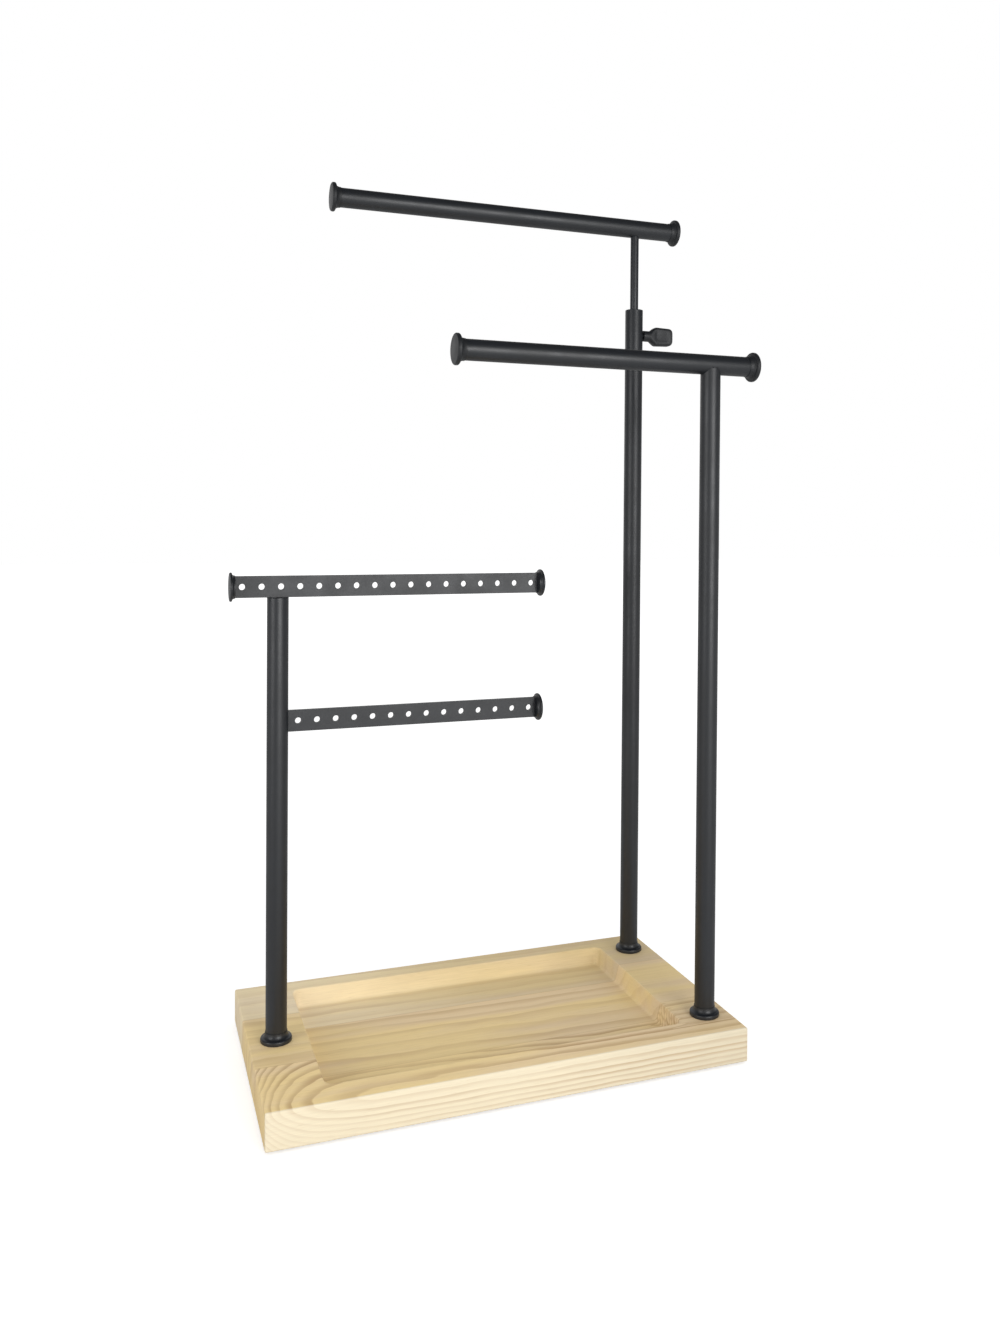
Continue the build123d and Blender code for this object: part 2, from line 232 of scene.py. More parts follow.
class Graph:
    """One node tree, with short ways to add a node, feed its inputs and take an output."""

    def __init__(self, tree):
        self.tree = tree

    def feed(self, socket, value):
        """Link a socket into another, or set a plain value on it."""
        if isinstance(value, bpy.types.NodeSocket):
            self.tree.links.new(value, socket)
        else:
            socket.default_value = value

    def add(self, kind, feeds=None, out=0, **settings):
        """One of a new node's outputs, or the node itself where it has none."""
        node = self.tree.nodes.new(kind)
        for name, value in settings.items():
            setattr(node, name, value)
        for key, value in (feeds or {}).items():
            self.feed(node.inputs[key], value)
        return node.outputs[out] if len(node.outputs) else node

    def math(self, operation, *values):
        """Result of a Math node."""
        return self.add("ShaderNodeMath", dict(enumerate(values)), operation=operation)

    def ramp(self, value, low, high, to_low=0.0, to_high=1.0):
        """Smooth step of a value between two limits."""
        feeds = {"Value": value, "From Min": low, "From Max": high, "To Min": to_low, "To Max": to_high}
        return self.add("ShaderNodeMapRange", feeds, interpolation_type="SMOOTHSTEP")

    def mix_colour(self, share, first, second):
        """Blend of two colours."""
        return self.add("ShaderNodeMix", {0: share, 6: first, 7: second}, out=2, data_type="RGBA")

    def mix_value(self, share, first, second):
        """Blend of two numbers."""
        return self.add("ShaderNodeMix", {0: share, 2: first, 3: second}, data_type="FLOAT")

    def noise(self, vector, scale, detail=2.0, roughness=0.5):
        """Noise with a value of about 0.5 on average."""
        feeds = {"Vector": vector, "Scale": scale, "Detail": detail, "Roughness": roughness}
        return self.add("ShaderNodeTexNoise", feeds)

    def stretched(self, vector, factors):
        """A vector with its parts scaled one by one."""
        return self.add("ShaderNodeVectorMath", {0: vector, 1: factors}, operation="MULTIPLY")

    def scaled(self, vector, factor):
        """A vector with all its parts scaled alike."""
        return self.add("ShaderNodeVectorMath", {0: vector, "Scale": factor}, operation="SCALE")


def new_group(name, kind, inputs, outputs):
    """The graph, inputs and output sockets of a new node group with named sockets."""
    tree = bpy.data.node_groups.new(name, kind)
    for direction, sockets in (("INPUT", inputs), ("OUTPUT", outputs)):
        for socket_name, socket_kind in sockets:
            tree.interface.new_socket(name=socket_name, in_out=direction, socket_type=socket_kind)
    entry = tree.nodes.new("NodeGroupInput")
    leave = tree.nodes.new("NodeGroupOutput")
    return Graph(tree), entry.outputs, leave.inputs


# Unevenness of the grained finishes
BLOTCH_LIMITS = (0.3, 0.7)
SPECK_FINENESS = 3.1
SPECK_SHARE = 0.35
TONE_SPREAD = 0.14
GLOSS_SPREAD = 0.04
GRAIN_BUMP = 0.6


def surface_grain_group():
    """Shared unevenness of coats, plastics and metals: slow blotches and a fine relief."""
    name = "surface_grain"
    if name in bpy.data.node_groups:
        return bpy.data.node_groups[name]
    number = "NodeSocketFloat"
    inputs = [("Vector", "NodeSocketVector"), ("Blotch Scale", number), ("Grain Scale", number)]
    outputs = [("Blotch", number), ("Height", number)]
    graph, entry, leave = new_group(name, "ShaderNodeTree", inputs, outputs)
    blotch = graph.noise(entry["Vector"], entry["Blotch Scale"], detail=4.0, roughness=0.6)
    peel = graph.noise(entry["Vector"], entry["Grain Scale"], detail=1.0)
    finer = graph.math("MULTIPLY", entry["Grain Scale"], SPECK_FINENESS)
    speck = graph.noise(entry["Vector"], finer, detail=2.0)
    graph.feed(leave["Blotch"], graph.ramp(blotch, *BLOTCH_LIMITS))
    graph.feed(leave["Height"], graph.mix_value(SPECK_SHARE, peel, speck))
    return graph.tree


def new_material(name):
    """A material with a bare Principled shader, its graph and that shader's inputs."""
    material = bpy.data.materials.new(name)
    material.use_nodes = True
    material.node_tree.nodes.clear()
    graph = Graph(material.node_tree)
    shader = graph.add("ShaderNodeBsdfPrincipled").node
    graph.add("ShaderNodeOutputMaterial", {"Surface": shader.outputs[0]})
    return material, graph, shader.inputs


def object_millimetres(graph):
    """Object coordinates in millimetres."""
    return graph.scaled(graph.add("ShaderNodeTexCoord", out="Object"), 1 / MM)


def grained_material(name, tone, rough, blotch_scale, grain_scale, relief, metallic=0.0, specular=0.5):
    """A slightly uneven finish, with its scales per millimetre and its relief in millimetres."""
    if name in bpy.data.materials:
        return bpy.data.materials[name]
    material, graph, shader = new_material(name)
    grain = graph.tree.nodes.new("ShaderNodeGroup")
    grain.node_tree = surface_grain_group()
    graph.feed(grain.inputs["Vector"], object_millimetres(graph))
    graph.feed(grain.inputs["Blotch Scale"], blotch_scale)
    graph.feed(grain.inputs["Grain Scale"], grain_scale)
    blotch = grain.outputs["Blotch"]
    deep = [(1 - TONE_SPREAD) * part for part in tone[:3]] + [1]
    pale = [min(1, (1 + TONE_SPREAD) * part) for part in tone[:3]] + [1]
    graph.feed(shader["Base Color"], graph.mix_colour(blotch, deep, pale))
    graph.feed(shader["Roughness"], graph.mix_value(blotch, rough + GLOSS_SPREAD, rough - GLOSS_SPREAD))
    bump = {"Strength": GRAIN_BUMP, "Distance": relief * MM, "Height": grain.outputs["Height"]}
    graph.feed(shader["Normal"], graph.add("ShaderNodeBump", bump))
    shader["Metallic"].default_value = metallic
    shader["Specular IOR Level"].default_value = specular
    return material


def powder_coat():
    """Black satin coat of the steel pieces."""
    tone = bpy.context.scene.stand_colours.coat
    look = {"rough": 0.45, "blotch_scale": 0.05, "grain_scale": 1.1, "relief": 0.04, "specular": 0.6}
    return grained_material("satin_powder_coat", tone, **look)


def moulded_plastic():
    """Black plastic of the caps and the knob."""
    tone = bpy.context.scene.stand_colours.plastic
    look = {"rough": 0.52, "blotch_scale": 0.09, "grain_scale": 2.6, "relief": 0.02}
    return grained_material("moulded_black_plastic", tone, **look)


def zinc_plate():
    """Bright plate of the base screws."""
    tone = bpy.context.scene.stand_colours.zinc
    look = {"rough": 0.34, "blotch_scale": 0.25, "grain_scale": 1.6, "relief": 0.02, "metallic": 1.0}
    return grained_material("zinc_plated_steel", tone, **look)


def pad_rubber():
    """Dull rubber of the foot pads."""
    tone = bpy.context.scene.stand_colours.rubber
    look = {"rough": 0.8, "blotch_scale": 0.2, "grain_scale": 2.0, "relief": 0.12, "specular": 0.3}
    return grained_material("foot_pad_rubber", tone, **look)


# Wood of the tray

# Edges of the tray in millimetres, and where behind its front edge the look of its front face fades out
left_end = tray_low.x / MM
front_edge = tray_low.y / MM
top_face = tray_top / MM
FRONT_FACE_START = 0.6
FRONT_FACE_STOP = 1.4

# Where the three glued staves meet, and the finger joint in the front one, in millimetres
FRONT_SEAM = -27.0
REAR_SEAM = 28.0
SEAM_WIDTH = 0.3
FINGER_X = 90.0
FINGER_LENGTH = 11.0
FINGER_PITCH = 6.4
FINGER_FRONT = -57.0
FINGER_FADE = 1.0
FINGER_BLEND = 0.2

# Rings in millimetres: flares at the front left corner, piths as y, z and lean, spacing and waves
FLARE_LENGTH = 14.0
FLARE_REACH = 32.0
FACE_SOFTNESS = 4.0
FACE_SHARE = 0.44
CENTRE_PITH = (-120.0, -60.0, 0.02)
REAR_PITH = (170.0, -50.0, -0.014)
BEYOND_SHIFT = 8.6
FRONT_SPACING = 6.0
FLAT_SPACING = 9.0
FRONT_WAVE = 5.0
FLAT_WAVE = 16.0
RIPPLE = 4.0

# How noises are stretched along the grain
WAVE_GRAIN = (0.006, 0.03, 0.03)
RIPPLE_GRAIN = (0.03, 0.09, 0.09)
FADE_GRAIN = (0.012, 0.06, 0.06)
PATCH_GRAIN = (0.007, 0.05, 0.05)
FIBRE_GRAIN = (0.05, 1.5, 1.5)
FLECK_GRAIN = (0.12, 2.6, 2.6)
NOISE_MIDDLE = 0.5

# Ramps: where each starts and stops, and its values there
RIM_SOFTNESS = (-80.0, 60.0, 20.0, 4.0)
RIM_SHARE = (-80.0, 60.0, 1.1, 0.95)
LINE_RISE = (0.3, 0.9, 0.0, 1.0)
LINE_DROP = (0.92, 1.0, 1.0, 0.0)
LINE_FADE = (0.3, 0.7, 0.5, 1.0)
FLAT_LINES = (75.0, 100.0, 1.0, 0.45)
FRONT_FACE_LINES = (-100.0, 100.0, 0.38, 0.85)
TOP_LINES = (10.0, 18.0, 1.25, 1.05)
FINGER_GLUE = (0.0, 1.4, 0.7, 0.0)
FLECKS = (0.64, 0.8, 0.0, 0.3)
SAP_PATCHES = (0.42, 0.68, 0.0, 0.8)
# Rear stave's share of the paler wood along X, partly its own tone and partly painted light on the recess's
# far wall, which faces the front light
REAR_PALENESS_AND_LIGHT = (-110.0, 60.0, 0.6, 0.15)
REAR_TONE = (-80.0, 20.0, 1.0, 0.83)

# Strengths of ring lines, lightness of the pale wood, and the surface
CENTRE_LINES = 0.34
REAR_LINES = 0.24
FRONT_LINES = 0.85
FLAT_WEAKEST = 0.3
FRONT_WEAKEST = 0.6
CENTRE_TONE = 0.94
FRONT_TONE = 1.0
RIGHT_START = -10.0
RIGHT_STOP = 125.0
RIGHT_TONE = 0.92
FRONT_FACE_RIGHT_TONE = 0.86
BEYOND_TONE = -0.05
FIBRE_TONE = 0.2
GLUE_TINT = 0.5
PALE_ROUGHNESS = 0.62
LINE_ROUGHNESS = 0.5
LINE_RELIEF = 0.5
FIBRE_RELIEF = 0.5
GLUE_RELIEF = -0.6
WOOD_BUMP = 0.5
WOOD_RELIEF = 0.08 * MM
WOOD_SPECULAR = 0.2


class PineFigure:
    """Figure of the tray's three pine staves, as sockets in the graph of one material."""

    def __init__(self, graph):
        self.graph = graph
        self.point = object_millimetres(graph)
        self.x, self.y, self.z = graph.add("ShaderNodeSeparateXYZ", {0: self.point}).node.outputs
        self.in_front = graph.math("LESS_THAN", self.y, FRONT_SEAM)
        self.in_rear = graph.math("GREATER_THAN", self.y, REAR_SEAM)
        face_limits = (front_edge + FRONT_FACE_START, front_edge + FRONT_FACE_STOP)
        self.on_front = graph.ramp(self.y, *face_limits, 1.0, 0.0)
        self.past_tooth, self.jointed, self.beyond = self.finger_joint()
        self.fibre = self.noise(FIBRE_GRAIN, detail=3.0, roughness=0.65)
        self.line = self.ring_line()
        self.glue = self.glue_line()

    def noise(self, grain, detail, roughness=0.5):
        """Noise stretched along the boards."""
        return self.graph.noise(self.graph.stretched(self.point, grain), 1.0, detail, roughness)

    def sway(self, grain, detail):
        """Noise to either side of zero."""
        return self.graph.math("SUBTRACT", self.noise(grain, detail), NOISE_MIDDLE)

    def by_stave(self, centre, rear, front):
        """A value that differs between the staves."""
        flat = self.graph.mix_value(self.in_rear, centre, rear)
        return self.graph.mix_value(self.in_front, flat, front)

    def finger_joint(self):
        """A zigzag across the front stave: distance past it, where it runs, and the other wood beyond."""
        graph = self.graph
        half_pitch = FINGER_PITCH / 2
        saw = graph.math("PINGPONG", self.y, half_pitch)
        tooth = graph.math("MULTIPLY_ADD", saw, FINGER_LENGTH / half_pitch, FINGER_X - FINGER_LENGTH / 2)
        past_tooth = graph.math("SUBTRACT", self.x, tooth)
        behind_front = graph.ramp(self.y, FINGER_FRONT - FINGER_FADE, FINGER_FRONT + FINGER_FADE)
        jointed = graph.math("MULTIPLY", self.in_front, behind_front)
        beyond = graph.math("MULTIPLY", jointed, graph.ramp(past_tooth, -FINGER_BLEND, FINGER_BLEND))
        return past_tooth, jointed, beyond

    def fall(self, offset, softness, share):
        """Slope away from an edge, rounded at the edge itself."""
        graph = self.graph
        squared = graph.math("MULTIPLY_ADD", offset, offset, graph.math("MULTIPLY", softness, softness))
        return graph.math("DIVIDE", graph.math("SUBTRACT", graph.math("SQRT", squared), softness), share)

    def front_rings(self):
        """Rings of the front stave: flares nested round its left corner, then lines along its edge."""
        graph = self.graph
        run = graph.math("MULTIPLY", graph.math("SUBTRACT", self.x, left_end), -1 / FLARE_LENGTH)
        spread = graph.math("MULTIPLY_ADD", graph.math("EXPONENT", run), -FLARE_REACH, FLARE_REACH)
        softness = graph.ramp(self.x, *RIM_SOFTNESS)
        share = graph.ramp(self.x, *RIM_SHARE)
        across = self.fall(graph.math("SUBTRACT", self.y, front_edge), softness, share)
        down = self.fall(graph.math("SUBTRACT", self.z, top_face), FACE_SOFTNESS, FACE_SHARE)
        return graph.math("SUBTRACT", graph.math("SUBTRACT", spread, across), down)

    def flat_rings(self, pith_y, pith_z, lean):
        """Rings of a flat-sawn stave, round a pith line that leans along the board."""
        graph = self.graph
        across = graph.math("SUBTRACT", self.y, pith_y)
        down = graph.math("SUBTRACT", self.z, pith_z)
        squared = graph.math("MULTIPLY_ADD", across, across, graph.math("MULTIPLY", down, down))
        return graph.math("MULTIPLY_ADD", self.x, lean, graph.math("SQRT", squared))

    def ring_count(self):
        """Number of the ring at each point, bent by slow waves and ripples along the grain."""
        graph = self.graph
        front = graph.math("MULTIPLY_ADD", self.beyond, BEYOND_SHIFT, self.front_rings())
        rings = self.by_stave(self.flat_rings(*CENTRE_PITH), self.flat_rings(*REAR_PITH), front)
        wave = graph.mix_value(self.in_front, FLAT_WAVE, FRONT_WAVE)
        rings = graph.math("MULTIPLY_ADD", self.sway(WAVE_GRAIN, detail=3.0), wave, rings)
        rings = graph.math("MULTIPLY_ADD", self.sway(RIPPLE_GRAIN, detail=2.0), RIPPLE, rings)
        density = graph.mix_value(self.in_front, 1 / FLAT_SPACING, 1 / FRONT_SPACING)
        return graph.math("MULTIPLY", rings, density)

    def line_strength(self):
        """How strongly ring lines show on each stave, and on the top and front faces."""
        graph = self.graph
        flat = graph.mix_value(self.in_rear, CENTRE_LINES, REAR_LINES)
        flat = graph.math("MULTIPLY", graph.ramp(self.x, *FLAT_LINES), flat)
        stave = graph.mix_value(self.in_front, flat, FRONT_LINES)
        on_top, on_face = graph.ramp(self.z, *TOP_LINES), graph.ramp(self.x, *FRONT_FACE_LINES)
        return graph.math("MULTIPLY", stave, graph.mix_value(self.on_front, on_top, on_face))

    def ring_line(self):
        """Dark ring lines, each with its own strength, that fade and strengthen along the boards."""
        graph = self.graph
        count = self.ring_count()
        phase = graph.math("FRACT", count)
        line = graph.math("MULTIPLY", graph.ramp(phase, *LINE_RISE), graph.ramp(phase, *LINE_DROP))
        own = graph.add("ShaderNodeTexWhiteNoise", {"W": graph.math("FLOOR", count)}, noise_dimensions="1D")
        weakest = graph.mix_value(self.in_front, FLAT_WEAKEST, FRONT_WEAKEST)
        fade = graph.ramp(self.noise(FADE_GRAIN, detail=2.0), *LINE_FADE)
        fade = graph.math("MULTIPLY", fade, graph.ramp(own, 0.0, 1.0, weakest, 1.0))
        return graph.math("MULTIPLY", line, graph.math("MULTIPLY", fade, self.line_strength()))

    def glue_line(self):
        """Glue lines between the staves and along the finger joint."""
        graph = self.graph
        front_gap = graph.math("ABSOLUTE", graph.math("SUBTRACT", self.y, FRONT_SEAM))
        rear_gap = graph.math("ABSOLUTE", graph.math("SUBTRACT", self.y, REAR_SEAM))
        seam = graph.ramp(graph.math("MINIMUM", front_gap, rear_gap), 0.0, SEAM_WIDTH, 1.0, 0.0)
        tooth = graph.ramp(graph.math("ABSOLUTE", self.past_tooth), *FINGER_GLUE)
        return graph.math("MAXIMUM", seam, graph.math("MULTIPLY", self.jointed, tooth))

    def pale_wood(self, colours):
        """Wood between the rings, with slow sapwood patches, a paler rear stave that is partly its own tone
        and partly painted light on the recess's lit far wall, and a front face painted paler as light from
        the front lamp.
        """
        graph = self.graph
        patch = graph.ramp(self.noise(PATCH_GRAIN, detail=2.0), *SAP_PATCHES)
        wood = graph.mix_colour(patch, colours.early_wood, colours.sap_wood)
        # Rear stave paler, partly its own tone and partly painted light on the recess's lit far wall
        rear_pale_and_lit_share = graph.math("MULTIPLY", self.in_rear, graph.ramp(self.x, *REAR_PALENESS_AND_LIGHT))
        wood = graph.mix_colour(rear_pale_and_lit_share, wood, colours.pale_wood_and_painted_light)
        # Painted light: the front face takes the paler wood all over, standing in for the front lamp's
        # light on it
        return graph.mix_colour(self.on_front, wood, colours.pale_wood_and_painted_light)

    def tone(self):
        """Lightness of the pale wood along each stave, beyond the finger joint and over the fibres."""
        graph = self.graph
        tone = self.by_stave(CENTRE_TONE, graph.ramp(self.x, *REAR_TONE), FRONT_TONE)
        right_tone = graph.mix_value(self.on_front, RIGHT_TONE, FRONT_FACE_RIGHT_TONE)
        tone = graph.math("MULTIPLY", tone, graph.ramp(self.x, RIGHT_START, RIGHT_STOP, 1.0, right_tone))
        tone = graph.math("MULTIPLY_ADD", self.beyond, BEYOND_TONE, tone)
        fibre_sway = graph.math("SUBTRACT", self.fibre, NOISE_MIDDLE)
        return graph.math("MULTIPLY_ADD", fibre_sway, FIBRE_TONE, tone)

    def base_colour(self, colours):
        """Pale wood with ring lines, short dark flecks along the grain and glue lines."""
        graph = self.graph
        wood = graph.scaled(self.pale_wood(colours), self.tone())
        fleck = graph.ramp(self.noise(FLECK_GRAIN, detail=1.0), *FLECKS)
        for dark_share in (self.line, fleck, graph.math("MULTIPLY", self.glue, GLUE_TINT)):
            wood = graph.mix_colour(dark_share, wood, colours.late_wood)
        return wood

    def height(self):
        """Relief of ring lines, fibres and glue lines."""
        graph = self.graph
        relief = graph.math("MULTIPLY", self.fibre, FIBRE_RELIEF)
        relief = graph.math("MULTIPLY_ADD", self.line, LINE_RELIEF, relief)
        return graph.math("MULTIPLY_ADD", self.glue, GLUE_RELIEF, relief)


def pine_boards():
    """Clear-coated pine, glued up from three staves."""
    name = "pine_boards"
    if name in bpy.data.materials:
        return bpy.data.materials[name]
    material, graph, shader = new_material(name)
    figure = PineFigure(graph)
    graph.feed(shader["Base Color"], figure.base_colour(bpy.context.scene.stand_colours))
    graph.feed(shader["Roughness"], graph.mix_value(figure.line, PALE_ROUGHNESS, LINE_ROUGHNESS))
    bump = {"Strength": WOOD_BUMP, "Distance": WOOD_RELIEF, "Height": figure.height()}
    graph.feed(shader["Normal"], graph.add("ShaderNodeBump", bump))
    shader["Specular IOR Level"].default_value = WOOD_SPECULAR
    return material


# Mesh making


def round_corners(corners, closed=True):
    """Points of an outline whose corners, given as (a, b, rounding), are replaced by arcs."""
    points = []
    for index, (a, b, rounding) in enumerate(corners):
        here = Vector((a, b))
        if rounding == 0 or (not closed and index in (0, len(corners) - 1)):
            points.append(here)
            continue
        before = (Vector(corners[index - 1][:2]) - here).normalized()
        after = (Vector(corners[(index + 1) % len(corners)][:2]) - here).normalized()
        half = before.angle(after) / 2
        centre = here + (before + after).normalized() * rounding / math.sin(half)
        start = here + before * rounding / math.tan(half) - centre
        stop = here + after * rounding / math.tan(half) - centre
        sweep = math.pi - 2 * half
        for step in range(ROUND_STEPS + 1):
            share = step / ROUND_STEPS
            arm = start * math.sin((1 - share) * sweep) + stop * math.sin(share * sweep)
            points.append(centre + arm / math.sin(sweep))
    return points


def join_rings(rings, closed):
    """Faces between rings of the same number of vertices."""
    faces = []
    pairs = list(zip(rings, rings[1:]))
    if closed:
        pairs.append((rings[-1], rings[0]))
    for ring, following in pairs:
        for step in range(len(ring)):
            onward = (step + 1) % len(ring)
            face = list(dict.fromkeys((ring[step], ring[onward], following[onward], following[step])))
            if len(face) > 2:
                faces.append(face)
    return faces


def turn_outline(outline):
    """Vertices and faces of a closed outline of (radius, height) points turned round local Z."""
    verts, rings = [], []
    for radius, height in outline:
        if radius < MERGE_DISTANCE:
            rings.append([len(verts)] * TURNED_SEGMENTS)
            verts.append((0, 0, height))
            continue
        rings.append(list(range(len(verts), len(verts) + TURNED_SEGMENTS)))
        for step in range(TURNED_SEGMENTS):
            angle = FULL_TURN * step / TURNED_SEGMENTS
            verts.append((radius * math.cos(angle), radius * math.sin(angle), height))
    return verts, join_rings(rings, True)


def loft(loops):
    """Vertices and faces of a solid through loops of the same number of points, closed at both ends."""
    size = len(loops[0])
    rings = [list(range(index * size, (index + 1) * size)) for index in range(len(loops))]
    verts = [point for loop in loops for point in loop]
    return verts, join_rings(rings, False) + [rings[0][::-1], rings[-1]]


def settle_mesh(mesh):
    """Merge doubles, point faces outwards and shade smooth with sharp creases."""
    work = bmesh.new()
    work.from_mesh(mesh)
    bmesh.ops.remove_doubles(work, verts=work.verts, dist=MERGE_DISTANCE)
    bmesh.ops.recalc_face_normals(work, faces=work.faces)
    work.to_mesh(mesh)
    work.free()
    mesh.shade_smooth()
    mesh.set_sharp_from_angle(angle=SHARP_ANGLE)


def link_object(name, data):
    """A new object in the scene for a mesh, lamp or camera."""
    thing = bpy.data.objects.new(name, data)
    bpy.context.scene.collection.objects.link(thing)
    return thing


def new_piece(name, verts, faces, origin=(0, 0, 0), axis=UP):
    """A mesh object whose place is in its mesh, with local Z laid along an axis."""
    place = Matrix.Translation(origin) @ UP.rotation_difference(axis).to_matrix().to_4x4()
    mesh = bpy.data.meshes.new(name)
    mesh.from_pydata([place @ Vector(vert) for vert in verts], [], faces)
    settle_mesh(mesh)
    return link_object(name, mesh)


def turned_piece(name, corners, origin=(0, 0, 0), axis=UP):
    """A turned piece from the rounded corners of its outline."""
    verts, faces = turn_outline(round_corners(corners))
    return new_piece(name, verts, faces, origin, axis)


def turned_pin(name, node, rounding):
    """A plain pin with rounded ends that fills an upright CAD node."""
    low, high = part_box(node)
    radius, stop = radius_of(node), high.z - low.z
    corners = [(0, 0, 0), (radius, 0, rounding), (radius, stop, rounding), (0, stop, 0)]
    return turned_piece(name, corners, axis_of(node, low.z))


def tube_corners(outer, wall, stop, edge):
    """Corners of a tube's wall from height 0 to a stop."""
    inner = outer - wall
    return [(inner, 0, edge), (outer, 0, edge), (outer, stop, edge), (inner, stop, edge)]


def flare_curve(rim_radius, rim_round, rim_thickness, lip_radius, height):
    """Points of a flange's rounded back edge and the hollow flare up to its lip."""
    turn_radius = rim_radius - rim_round
    points = []
    for step in range(ROUND_STEPS + 1):
        angle = QUARTER_TURN * step / ROUND_STEPS
        rise = rim_thickness - rim_round + rim_round * math.sin(angle)
        points.append((turn_radius + rim_round * math.cos(angle), rise, 0))
    steps = 2 * ROUND_STEPS
    for step in range(1, steps + 1):
        angle = QUARTER_TURN * step / steps
        radius = turn_radius - (turn_radius - lip_radius) * math.sin(angle)
        points.append((radius, height - (height - rim_thickness) * math.cos(angle), 0))
    return points


def flange_flare(sizes):
    """Flare of a collar or a cap, up to its lip round the tube."""
    lip = tube_radius + sizes.fit_gap + sizes.flare_lip
    return flare_curve(
        flange_radius, sizes.flange_rim_round, sizes.flange_thickness, lip, sizes.flare_height
    )


def rounded_rectangle(half_x, half_y, radius, centre, height):
    """Loop of points round a rectangle with rounded corners, from its right side on."""
    points = []
    for quarter, (side_x, side_y) in enumerate(((1, 1), (-1, 1), (-1, -1), (1, -1))):
        for step in range(CORNER_STEPS + 1):
            angle = QUARTER_TURN * (quarter + step / CORNER_STEPS)
            x = centre.x + side_x * (half_x - radius) + radius * math.cos(angle)
            y = centre.y + side_y * (half_y - radius) + radius * math.sin(angle)
            points.append((x, y, height))
    return points


def rectangle_loops(section, half_x, half_y, corner, least_corner, centre):
    """Rounded rectangles along a section, whose corners are given as (inset, height, rounding)."""
    loops = []
    for inset, height in round_corners(section, closed=False):
        radius = max(corner - inset, least_corner)
        loops.append(rounded_rectangle(half_x - inset, half_y - inset, radius, centre, height))
    return loops


def bake_modifiers(piece):
    """Turn a piece and its modifiers into a plain mesh."""
    depsgraph = bpy.context.evaluated_depsgraph_get()
    mesh = bpy.data.meshes.new_from_object(piece.evaluated_get(depsgraph))
    piece.modifiers.clear()
    piece.data = mesh
    mesh.name = piece.name


def discard(piece):
    """Remove a helper object and its mesh."""
    mesh = piece.data
    bpy.data.objects.remove(piece)
    bpy.data.meshes.remove(mesh)


def combine(piece, operation, *helpers):
    """Cut helper objects out of a piece, or join them to it, and remove them."""
    for helper in helpers:
        change = piece.modifiers.new("combine", "BOOLEAN")
        change.object = helper
        change.operation = operation
        change.solver = "EXACT"
    bake_modifiers(piece)
    settle_mesh(piece.data)
    for helper in helpers:
        discard(helper)


def rod_cutter(radius, start, axis, reach):
    """A helper rod that cuts a round hole."""
    corners = [(0, 0, 0), (radius, 0, 0), (radius, reach, 0), (0, reach, 0)]
    return turned_piece("cutter", corners, start, axis)


def block_cutter(low, high):
    """A helper block that cuts a slot."""
    corners = [(x, y, z) for z in (low.z, high.z) for y in (low.y, high.y) for x in (low.x, high.x)]
    faces = [(0, 2, 3, 1), (4, 5, 7, 6), (0, 1, 5, 4), (2, 6, 7, 3), (0, 4, 6, 2), (1, 3, 7, 5)]
    return new_piece("cutter", corners, faces)


def stud_hole_cutter(node, sizes):
    """A helper that cuts the thumbscrew's hole through the right side of an upright piece."""
    start = axis_of(node, middle_of("thumbscrew_stud").z)
    return rod_cutter(sizes.stud_diameter / 2 + sizes.running_gap, start, RIGHTWARD, 2 * radius_of(node))


def dress(piece, material, slot, body, *nodes):
    """Give a finished piece its material and its body, and hide the CAD nodes it stands for."""
    piece.data.materials.clear()
    piece.data.materials.append(material)
    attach(piece, body)
    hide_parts(*nodes)


# Geometry Nodes


def set_input(modifier, name, value):
    """Set a Geometry Nodes input by the identifier of its socket."""
    for item in modifier.node_group.interface.items_tree:
        if item.name == name and item.in_out == "INPUT":
            modifier[item.identifier] = value
            return
    raise KeyError(name)


def add_tree(piece, tree, values):
    """Put a Geometry Nodes tree on a piece with values for its inputs."""
    modifier = piece.modifiers.new(tree.name, "NODES")
    modifier.node_group = tree
    for name, value in values.items():
        set_input(modifier, name, value)


def end_tree(graph, geometry, material, leave):
    """End a tree in real geometry with its material."""
    real = graph.add("GeometryNodeRealizeInstances", {0: geometry})
    feeds = {"Geometry": real, "Material": material}
    graph.feed(leave["Geometry"], graph.add("GeometryNodeSetMaterial", feeds))
    return graph.tree


def joined(graph, *parts):
    """Several geometries as one."""
    node = graph.add("GeometryNodeJoinGeometry").node
    for part in parts:
        graph.tree.links.new(part, node.inputs[0])
    return node.outputs[0]


def placed_copies_tree():
    """Copies of a template on the points of a mesh, each turned by the point's own angles."""
    name = "placed_copies"
    if name in bpy.data.node_groups:
        return bpy.data.node_groups[name]
    inputs = [
        ("Points", "NodeSocketGeometry"),
        ("Template", "NodeSocketObject"),
        ("Material", "NodeSocketMaterial"),
    ]
    graph, entry, leave = new_group(name, "GeometryNodeTree", inputs, [("Geometry", "NodeSocketGeometry")])
    template = graph.add("GeometryNodeObjectInfo", {"Object": entry["Template"]}, out="Geometry")
    angles = graph.add("GeometryNodeInputNamedAttribute", {"Name": "turn"}, data_type="FLOAT_VECTOR")
    turn = graph.add("FunctionNodeEulerToRotation", {0: angles})
    feeds = {"Points": entry["Points"], "Instance": template, "Rotation": turn}
    copies = graph.add("GeometryNodeInstanceOnPoints", feeds)
    return end_tree(graph, copies, entry["Material"], leave)


def placed_copies(name, template, places, material):
    """One piece made of a template repeated at (point, turn) places."""
    mesh = bpy.data.meshes.new(name)
    mesh.from_pydata([point for point, _ in places], [], [])
    turns = mesh.attributes.new("turn", "FLOAT_VECTOR", "POINT")
    for index, (_, angles) in enumerate(places):
        turns.data[index].vector = angles
    piece = link_object(name, mesh)
    add_tree(piece, placed_copies_tree(), {"Template": template, "Material": material})
    bake_modifiers(piece)
    discard(template)
    return piece


